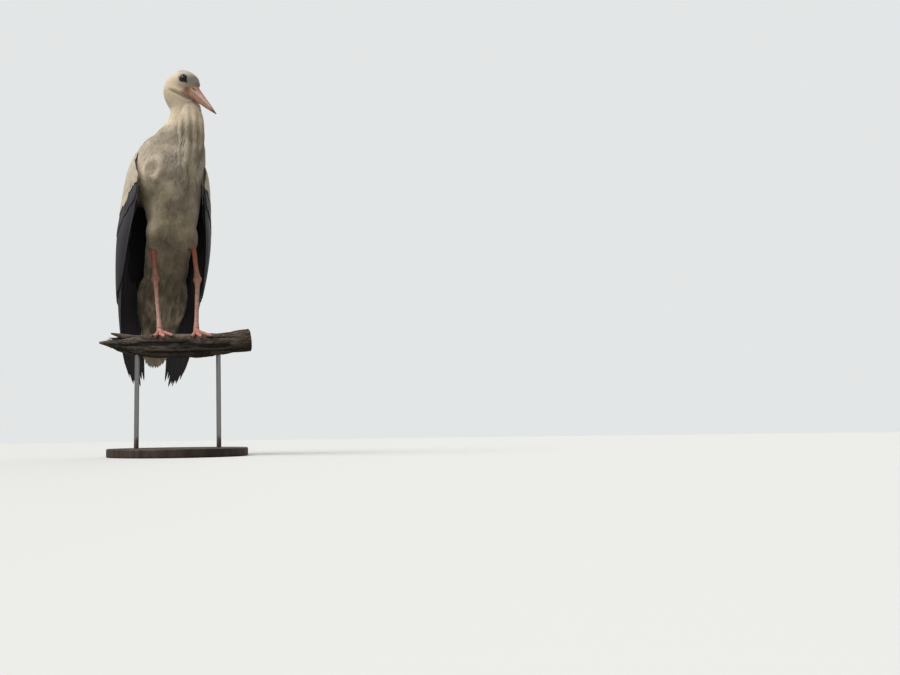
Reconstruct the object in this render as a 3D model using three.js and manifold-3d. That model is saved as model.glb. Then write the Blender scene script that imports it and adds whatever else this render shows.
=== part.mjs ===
// A life-size white stork (Ciconia ciconia), perched upright and at ease on a cut length of dead branch.
// Its legs are flexed, its wings hang closed past the branch, and its head is turned to its left with the bill
// lowered. A flat round base and two short rods hold the branch up.
//
// Millimetres, +Z up. The origin is the centre of the base's underside. The bird faces -Y, and +X is its left.
// The bird's own points are given above the top of the branch, and a group lifts them to their place.

import * as THREE from "three";
import { mergeVertices } from "three/addons/utils/BufferGeometryUtils.js";
import Module from "manifold-3d";

const wasm = await Module();
wasm.setup();

// ---------------------------------------------------------------------------------------------------------
// Driving dimensions
// ---------------------------------------------------------------------------------------------------------

const GAP = 0.4; // between pieces that touch
const RIGHT = -1;
const LEFT = 1;
const SIDES = { left: LEFT, right: RIGHT };

// The stand and the branch on it.
const BASE = { radius: 205, thickness: 24, bevel: 3, sides: 34 };
const ROD = { radius: 7, along: 120, sides: 12 };
const BRANCH_TOP = 360; // where the feet stand
const BRANCH = { halfHeight: 32, halfDepth: 38, turn: 14, sides: 12 };

// Legs: from the feet up. The knee is hidden in the body's feathers.
const FOOT = { spread: 53, ankleHeight: 16, palm: 10.5 };
const LEG = {
  heelOut: 64,
  heelAside: 10,
  heelBack: 66,
  heelUp: 184,
  kneeOut: 62,
  kneeAside: -26,
  kneeBack: -6,
  kneeUp: 360,
  tarsus: 7.2,
  tibia: 7.8,
  heelRadius: 13.4,
};
const BARE_TIBIA = 96; // how much of the tibia shows under its feathers
const TOES = {
  inner: { length: 60, splay: -29, radius: 5.3 },
  middle: { length: 78, splay: -1, radius: 5.7 },
  outer: { length: 66, splay: 29, radius: 5.3 },
  hind: { length: 36, splay: 172, radius: 5.0 },
};
const CLAW = { length: 13, radius: 3.7 };

// How far the whole body is moved from its place over straight legs: a deeper crouch is lower.
const BODY = { x: -30, y: 26, z: -48 };

// The head: its own frame has +X along the bill, +Y to the bird's left and +Z up, about the point between the eyes.
const HEAD = { at: [43, -92, 813], turn: 39, dip: 47.5, roll: 5 };
const EYE = { radius: 9.6, forward: 5, out: 29, up: 10.5 };
const BILL = { start: 25, length: 139, mouth: -5 };

// ---------------------------------------------------------------------------------------------------------
// Helpers
// ---------------------------------------------------------------------------------------------------------

const v3 = (x, y, z) => new THREE.Vector3(x, y, z);
const radians = THREE.MathUtils.degToRad;
const { lerp, clamp, smoothstep } = THREE.MathUtils;

// A closed mesh with its faces turned outwards.
function outward(points, faces) {
  let volume = 0;
  for (const [a, b, c] of faces) volume += points[a].dot(points[b].clone().cross(points[c]));
  const turned = volume < 0 ? faces.map(([a, b, c]) => [a, c, b]) : faces;
  const geometry = new THREE.BufferGeometry().setFromPoints(points);
  return geometry.setIndex(turned.flat());
}

// A closed solid through rings that hold the same number of points, with a fan over each end.
function loft(rings) {
  const sides = rings[0].length;
  const points = rings.flat();
  const faces = [];
  for (let r = 0; r + 1 < rings.length; r++)
    for (let i = 0; i < sides; i++) {
      const [a, b] = [r * sides + i, r * sides + ((i + 1) % sides)];
      faces.push([a, b, b + sides], [a, b + sides, a + sides]);
    }
  for (const [first, forwards] of [[0, false], [(rings.length - 1) * sides, true]]) {
    const ring = points.slice(first, first + sides);
    const centre = ring.reduce((sum, p) => sum.add(p), v3(0, 0, 0)).divideScalar(sides);
    const middle = points.push(centre) - 1;
    for (let i = 0; i < sides; i++) {
      const [a, b] = [first + i, first + ((i + 1) % sides)];
      faces.push(forwards ? [a, b, middle] : [b, a, middle]);
    }
  }
  return outward(points, faces);
}

// A closed solid between two skins, each a function of (u, v) from 0 to 1, with walls along the four edges.
function slab(outer, inner, rows, columns) {
  const points = [];
  for (const skin of [outer, inner])
    for (let r = 0; r <= rows; r++)
      for (let c = 0; c <= columns; c++) points.push(skin(r / rows, c / columns));
  const at = (layer, r, c) => (layer * (rows + 1) + r) * (columns + 1) + c;
  const faces = [];
  const quad = (a, b, c, d) => faces.push([a, b, c], [a, c, d]);
  for (let r = 0; r < rows; r++)
    for (let c = 0; c < columns; c++) {
      quad(at(0, r, c), at(0, r, c + 1), at(0, r + 1, c + 1), at(0, r + 1, c));
      quad(at(1, r + 1, c), at(1, r + 1, c + 1), at(1, r, c + 1), at(1, r, c));
    }
  for (let r = 0; r < rows; r++) {
    quad(at(0, r + 1, 0), at(1, r + 1, 0), at(1, r, 0), at(0, r, 0));
    quad(at(0, r, columns), at(1, r, columns), at(1, r + 1, columns), at(0, r + 1, columns));
  }
  for (let c = 0; c < columns; c++) {
    quad(at(0, 0, c), at(1, 0, c), at(1, 0, c + 1), at(0, 0, c + 1));
    quad(at(0, rows, c + 1), at(1, rows, c + 1), at(1, rows, c), at(0, rows, c));
  }
  return outward(points, faces);
}

// A smooth curve through a field of evenly placed stations, at t from 0 to 1.
function along(stations, field, t) {
  const place = clamp(t, 0, 1) * (stations.length - 1);
  const i = Math.min(Math.floor(place), stations.length - 2);
  const f = place - i;
  const value = (k) => stations[clamp(k, 0, stations.length - 1)][field];
  const [a, b, c, d] = [value(i - 1), value(i), value(i + 1), value(i + 2)];
  return b + 0.5 * f * (c - a + f * (2 * a - 5 * b + 4 * c - d + f * (3 * (b - c) + d - a)));
}

// An oval ring square to `ahead`. Its depth towards `facing` may differ from its depth behind.
function oval(centre, ahead, facing, { half, front, back }, sides, power = 2) {
  const forth = facing.clone().addScaledVector(ahead, -facing.dot(ahead)).normalize();
  const across = forth.clone().cross(ahead);
  const bend = (x) => Math.sign(x) * Math.abs(x) ** (2 / power);
  return Array.from({ length: sides }, (_, i) => {
    const angle = (2 * Math.PI * i) / sides;
    const [x, y] = [bend(Math.sin(angle)), bend(Math.cos(angle))];
    const depth = y > 0 ? front : back;
    return centre.clone().addScaledVector(across, half * x).addScaledVector(forth, depth * y);
  });
}

// A body of oval sections through stations that give x, y, z, half, front and back.
function body(stations, { rings, sides, facing = v3(0, -1, 0), from = 0, to = 1, grow = 0, power = 2 }) {
  const point = (t) => v3(...["x", "y", "z"].map((axis) => along(stations, axis, t)));
  return loft(
    Array.from({ length: rings }, (_, r) => {
      const t = lerp(from, to, r / (rings - 1));
      const ahead = point(Math.min(t + 0.01, 1)).sub(point(Math.max(t - 0.01, 0))).normalize();
      const [half, front, back] = ["half", "front", "back"].map((key) => along(stations, key, t) + grow);
      const beyondEnd = { 0: -grow, [rings - 1]: grow }[r] ?? 0;
      const centre = point(t).addScaledVector(ahead, beyondEnd);
      return oval(centre, ahead, facing, { half, front, back }, sides, power);
    }),
  );
}

// A round limb through points, each with its radius.
function limb(points, radii, { rings = 8, sides = 10, grow = 0 } = {}) {
  const stations = points.map((p, i) => {
    const radius = radii[i];
    return { x: p.x, y: p.y, z: p.z, half: radius, front: radius, back: radius };
  });
  return body(stations, { rings, sides, grow, facing: v3(0, -1, 0.01) });
}

function toSolid(geometry) {
  const bare = geometry.clone();
  bare.deleteAttribute("normal");
  bare.deleteAttribute("uv");
  const merged = mergeVertices(bare, 1e-3);
  const vertProperties = new Float32Array(merged.attributes.position.array);
  return new wasm.Manifold(
    new wasm.Mesh({ numProp: 3, vertProperties, triVerts: new Uint32Array(merged.index.array) }),
  );
}

function toGeometry(solid) {
  const { vertProperties, triVerts } = solid.getMesh();
  const geometry = new THREE.BufferGeometry();
  geometry.setAttribute("position", new THREE.BufferAttribute(new Float32Array(vertProperties), 3));
  geometry.setIndex(new THREE.BufferAttribute(new Uint32Array(triVerts), 1));
  return geometry;
}

// The geometry with others cut out of it. Only the largest body that is left is kept.
function cut(geometry, ...cutters) {
  let solid = toSolid(geometry);
  for (const cutter of cutters) solid = solid.subtract(toSolid(cutter));
  const bodies = solid.decompose().sort((a, b) => b.volume() - a.volume());
  return toGeometry(bodies[0]);
}

// The geometries joined into one.
function join(...geometries) {
  return toGeometry(geometries.map(toSolid).reduce((sum, solid) => sum.add(solid)));
}

// A box that covers everything on the far side of a plane through `point`, along `normal`.
function beyond(point, normal, size = 400) {
  const box = new THREE.BoxGeometry(size, size, size).translate(0, 0, size / 2);
  box.applyQuaternion(new THREE.Quaternion().setFromUnitVectors(v3(0, 0, 1), normal.clone().normalize()));
  return box.translate(point.x, point.y, point.z);
}

const material = (color, roughness, metalness = 0) =>
  new THREE.MeshStandardMaterial({ color, roughness, metalness });

const MATERIALS = {
  white: material(0xe6dfcf, 0.9),
  black: material(0x1b1a20, 0.55),
  bill: material(0xb9776a, 0.5),
  skin: material(0xc9735c, 0.6),
  claw: material(0x3a3230, 0.5),
  eye: material(0x120f12, 0.1),
  wood: material(0x6d5f4f, 0.9),
  base: material(0x3b3631, 0.6),
  steel: material(0x8f9194, 0.35, 0.9),
};

function piece(name, geometry, look, parent) {
  const mesh = new THREE.Mesh(geometry, MATERIALS[look]);
  mesh.name = name;
  parent.add(mesh);
  return mesh;
}

// ---------------------------------------------------------------------------------------------------------
// Stations of the feathered body. half is across, front is towards the breast and back towards the spine.
// ---------------------------------------------------------------------------------------------------------

const placed = (stations) =>
  stations.map((s) => ({ ...s, x: (s.x ?? 0) + BODY.x, y: s.y + BODY.y, z: s.z + BODY.z }));

const TRUNK = placed([
  { x: 14, y: -46, z: 644, half: 66, front: 42, back: 40 },
  { x: 8, y: -36, z: 600, half: 100, front: 70, back: 60 },
  { x: 2, y: -24, z: 534, half: 107, front: 90, back: 78 },
  { x: 14, y: -6, z: 462, half: 88, front: 98, back: 86 },
  { x: 19, y: 16, z: 388, half: 75, front: 88, back: 82 },
  { x: 14, y: 54, z: 316, half: 72, front: 45, back: 60 },
  { x: 11, y: 85, z: 250, half: 70, front: 26, back: 38 },
  { x: 8, y: 104, z: 196, half: 56, front: 14, back: 20 },
]);

const NECK = placed([
  { x: 22, y: -36, z: 590, half: 92, front: 66, back: 56 },
  { x: 30, y: -50, z: 640, half: 78, front: 58, back: 48 },
  { x: 42, y: -62, z: 692, half: 54, front: 48, back: 42 },
  { x: 43, y: -70, z: 744, half: 46, front: 42, back: 40 },
  { x: 20, y: -70, z: 796, half: 47, front: 38, back: 42 },
  { x: 20, y: -74, z: 842, half: 27, front: 24, back: 28 },
]);
// Where the neck is parted, and which way it runs there.
const NECK_SPLIT = { x: 43, y: -62, z: 700 };
const NECK_AHEAD = v3(0, -0.15, 1);

const HEAD_STATIONS = [
  { x: -52, y: 0, z: -3, half: 11, front: 8, back: 16 },
  { x: -42, y: 0, z: -2, half: 30, front: 25, back: 44 },
  { x: -22, y: 0, z: -1, half: 39, front: 34, back: 52 },
  { x: 0, y: 0, z: 0, half: 39, front: 35, back: 46 },
  { x: 18, y: 0, z: 0, half: 31, front: 34, back: 37 },
  { x: 31, y: 0, z: 0, half: 19, front: 28, back: 27 },
  { x: 43, y: 0, z: -1, half: 10, front: 19.5, back: 15 },
];

const BILL_STATIONS = [
  { x: 0, y: 0, z: -4, half: 17, front: 23.5, back: 24 },
  { x: 0.25, y: 0, z: -4.6, half: 13.8, front: 17, back: 17.6 },
  { x: 0.5, y: 0, z: -5.4, half: 10.2, front: 12.4, back: 12.4 },
  { x: 0.75, y: 0, z: -6.2, half: 6.6, front: 8, back: 7.6 },
  { x: 1, y: 0, z: -7, half: 1.3, front: 1.5, back: 1.4 },
];

const PLUMES = placed([
  { x: 50, y: -108, z: 736, half: 20, front: 8, back: 14 },
  { x: 52, y: -114, z: 694, half: 36, front: 11, back: 26 },
  { x: 50, y: -117, z: 642, half: 38, front: 12, back: 30 },
  { x: 47, y: -118, z: 580, half: 28, front: 10, back: 24 },
  { x: 44, y: -117, z: 514, half: 7, front: 4, back: 9 },
]);

// The feathered thigh: how far along from the knee to the end of the feathers, how far in from the bone, and how
// thick.
const THIGH = [
  { along: -0.1, inward: 34, half: 12, front: 8, back: 28 },
  { along: 0.2, inward: 22, half: 24, front: 30, back: 38 },
  { along: 0.5, inward: 11, half: 27, front: 33, back: 34 },
  { along: 0.77, inward: 4, half: 20, front: 24, back: 22 },
  { along: 1, inward: 0, half: 10.5, front: 11, back: 11 },
];

const TAIL = { length: 258, lean: 21, half: [26, 56], thickness: [12, 4.5], feathers: 6, round: 0.26 };
const TAIL_ROOT = { y: 96, z: 206 };

const TAIL_COVERTS = placed([
  { x: 10, y: 78, z: 258, half: 62, front: 14, back: 24 },
  { x: 9, y: 92, z: 202, half: 78, front: 18, back: 18 },
  { x: 7, y: 110, z: 140, half: 76, front: 18, back: 16 },
  { x: 4, y: 131, z: 78, half: 56, front: 13, back: 12 },
  { x: 0, y: 156, z: 4, half: 27, front: 6, back: 5 },
]);

const LEFT_TIP_OUT = 13; // the left wing's tips stand this much further out

// The closed wings follow these ovals round the back. t runs from the shoulder to the longest tips.
const WING = placed([
  { y: -34, z: 606, half: 98, back: 56, thick: 12 },
  { y: -24, z: 550, half: 122, back: 84, thick: 22 },
  { y: -8, z: 484, half: 134, back: 100, thick: 27 },
  { y: 10, z: 416, half: 143, back: 104, thick: 26 },
  { y: 30, z: 348, half: 150, back: 101, thick: 23 },
  { y: 54, z: 280, half: 149, back: 92, thick: 19 },
  { y: 82, z: 214, half: 144, back: 80, thick: 15 },
  { y: 112, z: 148, half: 136, back: 66, thick: 12 },
  { y: 140, z: 82, half: 126, back: 52, thick: 9 },
  { y: 164, z: 18, half: 114, back: 40, thick: 6 },
  { y: 184, z: -44, half: 98, back: 30, thick: 4 },
  { y: 200, z: -98, half: 80, back: 22, thick: 2.5 },
]);

// ---------------------------------------------------------------------------------------------------------
// Body, neck and tail
// ---------------------------------------------------------------------------------------------------------

const trunkShape = (grow = 0) => body(TRUNK, { rings: 13, sides: 18, grow });
const neckShape = (grow = 0) => body(NECK, { rings: 9, sides: 16, grow });

function makeTail() {
  const { length, lean, half, thickness, feathers, round } = TAIL;
  const [{ x, y, z }] = placed([TAIL_ROOT]);
  const root = v3(x, y, z);
  const down = v3(0, Math.sin(radians(lean)), -Math.cos(radians(lean)));
  const back = v3(0, Math.cos(radians(lean)), Math.sin(radians(lean)));
  const skin = (side) => (u, v) => {
    const across = 2 * v - 1;
    const notch = Math.abs(Math.sin(Math.PI * feathers * v));
    const reach = length * (1 - round * Math.abs(across) ** 2.5) - (1 - notch) * 9;
    const width = lerp(half[0], half[1], u ** 0.7);
    const depth = lerp(thickness[0], thickness[1], u) / 2;
    const edge = 1 - 0.8 * across ** 4;
    return root
      .clone()
      .addScaledVector(down, u * reach)
      .addScaledVector(back, side * depth * edge - 7 * across * across)
      .add(v3(width * across, 0, 0));
  };
  return slab(skin(1), skin(-1), 4, feathers * 2);
}

function makeBody(parent) {
  piece("trunk", trunkShape(), "white", parent);
  const { x, y, z } = placed([NECK_SPLIT])[0];
  const above = beyond(v3(x, y, z - GAP / 2), NECK_AHEAD);
  const below = beyond(v3(x, y, z + GAP / 2), NECK_AHEAD.clone().negate());
  const headRoom = headShape(2 * GAP).applyMatrix4(headFrame().matrix);
  const billRoom = billShape(2 * GAP).applyMatrix4(headFrame().matrix);
  piece("neck_lower", cut(neckShape(), above, trunkShape(GAP)), "white", parent);
  piece("neck_upper", cut(neckShape(), below, trunkShape(GAP), headRoom, billRoom), "white", parent);
  const plumes = body(PLUMES, { rings: 7, sides: 10 });
  const neckRoom = neckShape(GAP);
  piece("neck_plumes", cut(plumes, neckRoom, trunkShape(GAP)), "white", parent);
  const tail = makeTail();
  piece("tail", cut(tail, trunkShape(GAP)), "white", parent);
  const coverts = body(TAIL_COVERTS, { rings: 5, sides: 10 });
  const tailRoom = makeTail().translate(0, -GAP, 0);
  piece("tail_coverts", cut(coverts, trunkShape(GAP), tailRoom, makeTail()), "white", parent);
}

// ---------------------------------------------------------------------------------------------------------
// Head, bill and eyes
// ---------------------------------------------------------------------------------------------------------

function headFrame() {
  const frame = new THREE.Group();
  const turn = radians(HEAD.turn - 90);
  frame.position.set(HEAD.at[0] + BODY.x, HEAD.at[1] + BODY.y, HEAD.at[2] + BODY.z);
  frame.rotation.set(radians(HEAD.roll), radians(HEAD.dip), turn, "ZYX");
  frame.updateMatrix();
  return frame;
}

const headShape = (grow = 0) => body(HEAD_STATIONS, { rings: 10, sides: 14, facing: v3(0, 0, 1), grow });

function billShape(grow = 0) {
  const stations = BILL_STATIONS.map((s) => ({ ...s, x: BILL.start + s.x * BILL.length }));
  return body(stations, { rings: 7, sides: 12, facing: v3(0, 0, 1), grow });
}

function eyeShape(side, grow = 0) {
  return new THREE.SphereGeometry(EYE.radius + grow, 12, 8).translate(EYE.forward, side * EYE.out, EYE.up);
}

function makeHead(parent) {
  const frame = headFrame();
  parent.add(frame);
  const sockets = Object.values(SIDES).map((side) => eyeShape(side, GAP));
  const mouth = v3(0, 0, BILL.mouth);
  const bill = billShape();
  piece("head", cut(headShape(), billShape(GAP), ...sockets), "white", frame);
  const above = beyond(mouth.clone().add(v3(0, 0, -GAP / 2)), v3(0, 0, 1), 600);
  const below = beyond(mouth.clone().add(v3(0, 0, GAP / 2)), v3(0, 0, -1), 600);
  piece("bill_upper", cut(bill, below), "bill", frame);
  piece("bill_lower", cut(bill, above), "bill", frame);
  for (const [name, side] of Object.entries(SIDES)) piece(`eye_${name}`, eyeShape(side), "eye", frame);
}

// ---------------------------------------------------------------------------------------------------------
// Wings: coverts, secondaries and primaries, each a curved layer round the back
// ---------------------------------------------------------------------------------------------------------

// A point on a closed wing. angle is 0 at the spine, 90 at the flank and more towards the breast.
function wingPoint(side, t, angle, inset) {
  const [y, z, half, back] = ["y", "z", "half", "back"].map((key) => along(WING, key, t));
  const a = radians(angle);
  const reach = side * (half - inset) * Math.sin(a);
  const swing = side === LEFT ? LEFT_TIP_OUT * smoothstep(t, 0.6, 0.9) : 0;
  return v3(BODY.x + reach + swing, y + (back - inset) * Math.cos(a), z);
}

// How far round the body the wing reaches at t, in degrees from the spine.
function wingEdges(t) {
  const near = lerp(38, 0, smoothstep(t, 0, 0.2)) + lerp(0.7, 14, smoothstep(t, 0.62, 1));
  const far = lerp(96, 124, smoothstep(t, 0, 0.2)) - 22 * smoothstep(t, 0.2, 0.7) - 18 * smoothstep(t, 0.6, 1);
  return [near, far];
}

// Where each layer starts and ends along the wing, as v goes from the spine to the breast. `inset` is how far its
// outer face lies under the layer above, and `rim` how thick its free end is.
const LAYERS = {
  coverts: {
    start: () => 0,
    end: (v) => 0.36 - 0.155 * smoothstep(v, 0.45, 1) + 0.03 * smoothstep(v, 0, 0.4),
    inset: 0,
    rim: 14,
    rows: 5,
    tips: 7,
    notch: 0.012,
  },
  secondaries: {
    start: (v) => freeEdge(LAYERS.coverts, v) + 0.005,
    end: (v) => 0.74 - 0.16 * smoothstep(v, 0.1, 1),
    inset: 0,
    rim: 7,
    rows: 5,
    tips: 7,
    notch: 0.014,
  },
  primaries: {
    start: (v) => LAYERS.secondaries.end(v) - 0.03,
    end: (v) => 0.995 - 0.075 * smoothstep(v, 0.35, 1) - 0.05 * (1 - smoothstep(v, 0, 0.35)),
    inset: 10,
    rim: 2.2,
    rows: 7,
    tips: 6,
    notch: 0.06,
  },
};

const EDGE_THICKNESS = 1.4; // of a layer along its sides

// The free edge of a layer, drawn in between the tips of its feathers.
function freeEdge({ end, tips, notch }, v) {
  return end(v) - notch * (1 - Math.abs(Math.sin(Math.PI * tips * v)) ** 0.6);
}

function wingLayer(side, plan) {
  const { start, inset, rim, rows, tips } = plan;
  const skin = (inner) => (u, v) => {
    const t = lerp(start(v), freeEdge(plan, v), u);
    const [near, far] = wingEdges(t);
    const middle = 1 - Math.abs(2 * v - 1) ** 5;
    const full = Math.max(along(WING, "thick", t) - inset, rim);
    const depth = lerp(full, rim, smoothstep(u, 0.6, 0.95));
    return wingPoint(side, t, lerp(near, far, v), inset + (inner ? lerp(EDGE_THICKNESS, depth, middle) : 0));
  };
  return slab(skin(false), skin(true), rows, tips * 2);
}

function makeWings(parent) {
  const trunkRoom = trunkShape(GAP);
  for (const [name, side] of Object.entries(SIDES)) {
    const shapes = Object.fromEntries(
      Object.entries(LAYERS).map(([layer, plan]) => [layer, wingLayer(side, plan)]),
    );
    const thighRoom = thighShape(side, GAP);
    const neckRoom = neckShape(GAP);
    piece(`wing_${name}_coverts`, cut(shapes.coverts, trunkRoom, thighRoom, neckRoom), "white", parent);
    const first = cut(shapes.secondaries, trunkRoom, thighRoom);
    piece(`wing_${name}_secondaries`, first, "black", parent);
    piece(`wing_${name}_primaries`, cut(shapes.primaries, trunkRoom), "black", parent);
  }
}

// ---------------------------------------------------------------------------------------------------------
// Legs
// ---------------------------------------------------------------------------------------------------------

const branchSlope = Math.tan(radians(BRANCH.turn));

function legPoints(side) {
  const foot = v3(side * FOOT.spread, -side * FOOT.spread * branchSlope, FOOT.ankleHeight);
  const heel = v3(side * LEG.heelOut + LEG.heelAside, foot.y + LEG.heelBack, LEG.heelUp);
  const knee = v3(side * LEG.kneeOut + LEG.kneeAside, LEG.kneeBack, LEG.kneeUp);
  return { foot, heel, knee };
}

function thighShape(side, grow = 0) {
  const { heel, knee } = legPoints(side);
  const bottom = heel.clone().addScaledVector(knee.clone().sub(heel).normalize(), BARE_TIBIA);
  const stations = THIGH.map((s) => {
    const { x, y, z } = knee.clone().lerp(bottom, s.along);
    return { ...s, x: x - side * s.inward, y, z };
  });
  return body(stations, { rings: 6, sides: 12, grow });
}

function makeLegs(parent) {
  for (const [name, side] of Object.entries(SIDES)) {
    const { foot, heel, knee } = legPoints(side);
    const up = knee.clone().sub(heel).normalize();
    const down = foot.clone().sub(heel).normalize();
    const { tarsus, tibia, heelRadius } = LEG;
    const onTibia = (d) => heel.clone().addScaledVector(up, d);
    const onTarsus = (d) => heel.clone().addScaledVector(down, d);
    const reach = foot.distanceTo(heel);
    piece(`thigh_${name}`, cut(thighShape(side), trunkShape(GAP)), "white", parent);
    const shank = limb(
      [onTibia(BARE_TIBIA + 22), onTibia(60), onTibia(26), onTibia(10), onTibia(GAP)],
      [tibia, tibia, tibia * 1.08, heelRadius * 0.95, heelRadius],
      { rings: 7, sides: 8 },
    );
    piece(`shank_${name}`, cut(shank, thighShape(side, GAP), trunkShape(GAP)), "skin", parent);
    const bone = limb(
      [onTarsus(GAP), onTarsus(14), onTarsus(34), onTarsus(reach / 2), onTarsus(reach - 16), onTarsus(reach - 1)],
      [heelRadius, heelRadius * 0.95, tarsus * 1.2, tarsus, tarsus * 1.1, tarsus * 1.35],
      { rings: 9, sides: 8 },
    );
    const tibiaRoom = beyond(heel.clone().addScaledVector(up, -GAP), up, 60);
    piece(`tarsus_${name}`, cut(bone, tibiaRoom, footShape(side, GAP)), "skin", parent);
    piece(`foot_${name}`, cut(footShape(side), branchShape(GAP)), "skin", parent);
    for (const [toe, plan] of Object.entries(TOES))
      piece(`claw_${name}_${toe}`, cut(clawShape(side, plan), branchShape(GAP)), "claw", parent);
  }
}

// A toe leaves the foot, comes down on the branch and lies over it. Each step gives how far out and how high.
function toePath(side, { length, splay, radius }) {
  const { foot } = legPoints(side);
  const angle = radians(side * splay);
  const out = v3(Math.sin(angle), -Math.cos(angle), 0);
  const across = out.dot(v3(Math.sin(radians(BRANCH.turn)), Math.cos(radians(BRANCH.turn)), 0));
  const surface = (d) => {
    const depth = clamp((d * across) / BRANCH.halfDepth, -0.94, 0.94);
    return BRANCH.halfHeight * (Math.sqrt(1 - depth * depth) - 1);
  };
  const lift = [FOOT.ankleHeight * 0.8, radius * 1.15, radius, radius, radius, radius];
  const steps = [0, 0.22, 0.42, 0.62, 0.82, 1];
  return steps.map((share, i) => {
    const d = share * length;
    const droop = Math.max(surface(Math.min(d, 30)) - Math.max(d - 30, 0) * 0.34, surface(d) - 60);
    return v3(foot.x, foot.y, 0).addScaledVector(out, d).setZ(Math.max(droop, surface(d)) + lift[i]);
  });
}

function footShape(side, grow = 0) {
  const { foot } = legPoints(side);
  const toes = Object.values(TOES).map((plan) => {
    const r = plan.radius;
    const radii = [r * 1.25, r * 1.15, r * 0.95, r * 1.02, r * 0.88, r * 0.72];
    return limb(toePath(side, plan), radii, { rings: 6, sides: 6, grow });
  });
  const palm = new THREE.SphereGeometry(FOOT.palm + grow, 8, 6).translate(foot.x, foot.y, foot.z - 4);
  return join(palm, ...toes);
}

function clawShape(side, plan) {
  const path = toePath(side, plan);
  const [before, tip] = path.slice(-2);
  const ahead = tip.clone().sub(before).normalize();
  const { length, radius } = CLAW;
  const start = tip.clone().addScaledVector(ahead, GAP);
  const middle = start.clone().addScaledVector(ahead, length * 0.55).add(v3(0, 0, -0.6));
  const end = start.clone().addScaledVector(ahead, length).add(v3(0, 0, -3.6));
  return limb([start, middle, end], [radius, radius * 0.72, 0.45], { rings: 4, sides: 6 });
}

// ---------------------------------------------------------------------------------------------------------
// Branch and stand
// ---------------------------------------------------------------------------------------------------------

// The branch from its broken end on the bird's right to its sawn end, along its own X before it is turned.
const BRANCH_STATIONS = [
  { x: -232, y: 4, z: -25, half: 2.5, front: 3, back: 3 },
  { x: -208, y: 6, z: -27, half: 14, front: 10, back: 9 },
  { x: -176, y: 4, z: -28, half: 26, front: 20, back: 23 },
  { x: -134, y: 2, z: -30, half: 34, front: 26, back: 33 },
  { x: -84, y: 0, z: -32, half: 38, front: 31, back: 38 },
  { x: -30, y: 0, z: -32, half: 38, front: 32, back: 41 },
  { x: 30, y: 0, z: -32, half: 38, front: 32, back: 41 },
  { x: 90, y: -1, z: -30, half: 38, front: 32, back: 39 },
  { x: 150, y: -2, z: -24, half: 37, front: 32, back: 37 },
  { x: 215, y: 0, z: -16, half: 38, front: 33, back: 36 },
];

const branchFrame = () => new THREE.Matrix4().makeRotationZ(-radians(BRANCH.turn));

function branchShape(grow = 0) {
  const facing = v3(0, 0, 1);
  const trunk = body(BRANCH_STATIONS, { rings: 12, sides: BRANCH.sides, facing, grow, power: 2.15 });
  const splinter = [
    { x: -120, y: -6, z: -14, half: 14, front: 8, back: 12 },
    { x: -158, y: -10, z: -8, half: 11, front: 7, back: 9 },
    { x: -196, y: -14, z: 0, half: 2.5, front: 2, back: 2.5 },
  ];
  const shard = body(splinter, { rings: 5, sides: 8, facing, grow });
  return join(trunk, shard).applyMatrix4(branchFrame());
}

function makeStand(root, bird) {
  piece("perch", branchShape(), "wood", bird);
  const { radius, thickness, bevel, sides } = BASE;
  const profile = [
    [0, 0],
    [radius - bevel, 0],
    [radius, bevel],
    [radius, thickness - bevel],
    [radius - bevel, thickness],
    [0, thickness],
  ].map(([x, y]) => new THREE.Vector2(x, y));
  const base = new THREE.LatheGeometry(profile, sides).rotateX(Math.PI / 2);
  piece("stand_base", base, "base", root);
  const room = branchShape(GAP).translate(0, 0, BRANCH_TOP);
  for (const [name, side] of Object.entries(SIDES)) {
    const bottom = BASE.thickness + GAP;
    const height = BRANCH_TOP - BRANCH.halfHeight - bottom;
    const at = v3(side * ROD.along, 0, bottom + height / 2).applyMatrix4(branchFrame());
    const rod = new THREE.CylinderGeometry(ROD.radius, ROD.radius, height, ROD.sides).rotateX(Math.PI / 2);
    piece(`stand_rod_${name}`, cut(rod.translate(at.x, at.y, at.z), room), "steel", root);
  }
}

// ---------------------------------------------------------------------------------------------------------

function makeStork() {
  const root = new THREE.Group();
  const bird = new THREE.Group();
  bird.position.z = BRANCH_TOP;
  root.add(bird);
  makeBody(bird);
  makeHead(bird);
  makeWings(bird);
  makeLegs(bird);
  makeStand(root, bird);
  return root;
}

export default makeStork();
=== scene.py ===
"""A life-size white stork on a cut branch, which a plain stand holds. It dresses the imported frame."""

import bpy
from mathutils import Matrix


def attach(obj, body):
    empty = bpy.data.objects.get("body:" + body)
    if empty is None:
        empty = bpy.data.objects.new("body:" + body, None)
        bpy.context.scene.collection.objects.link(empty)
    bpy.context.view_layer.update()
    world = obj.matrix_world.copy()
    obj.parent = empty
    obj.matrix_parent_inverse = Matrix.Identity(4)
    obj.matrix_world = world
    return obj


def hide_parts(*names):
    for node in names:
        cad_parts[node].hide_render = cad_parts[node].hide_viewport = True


bl_info = {
    "name": "White stork model",
    "version": (1, 0, 0),
    "blender": (4, 5, 0),
    "location": "3D View > Sidebar > Stork",
    "description": "Skin, feathers, bill, legs, branch, stand and stage of a life-size stork model",
    "category": "Object",
}

import itertools
import math
from functools import partial

import bpy
import numpy as np
from mathutils import Matrix, Vector
from mathutils.bvhtree import BVHTree

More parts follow.
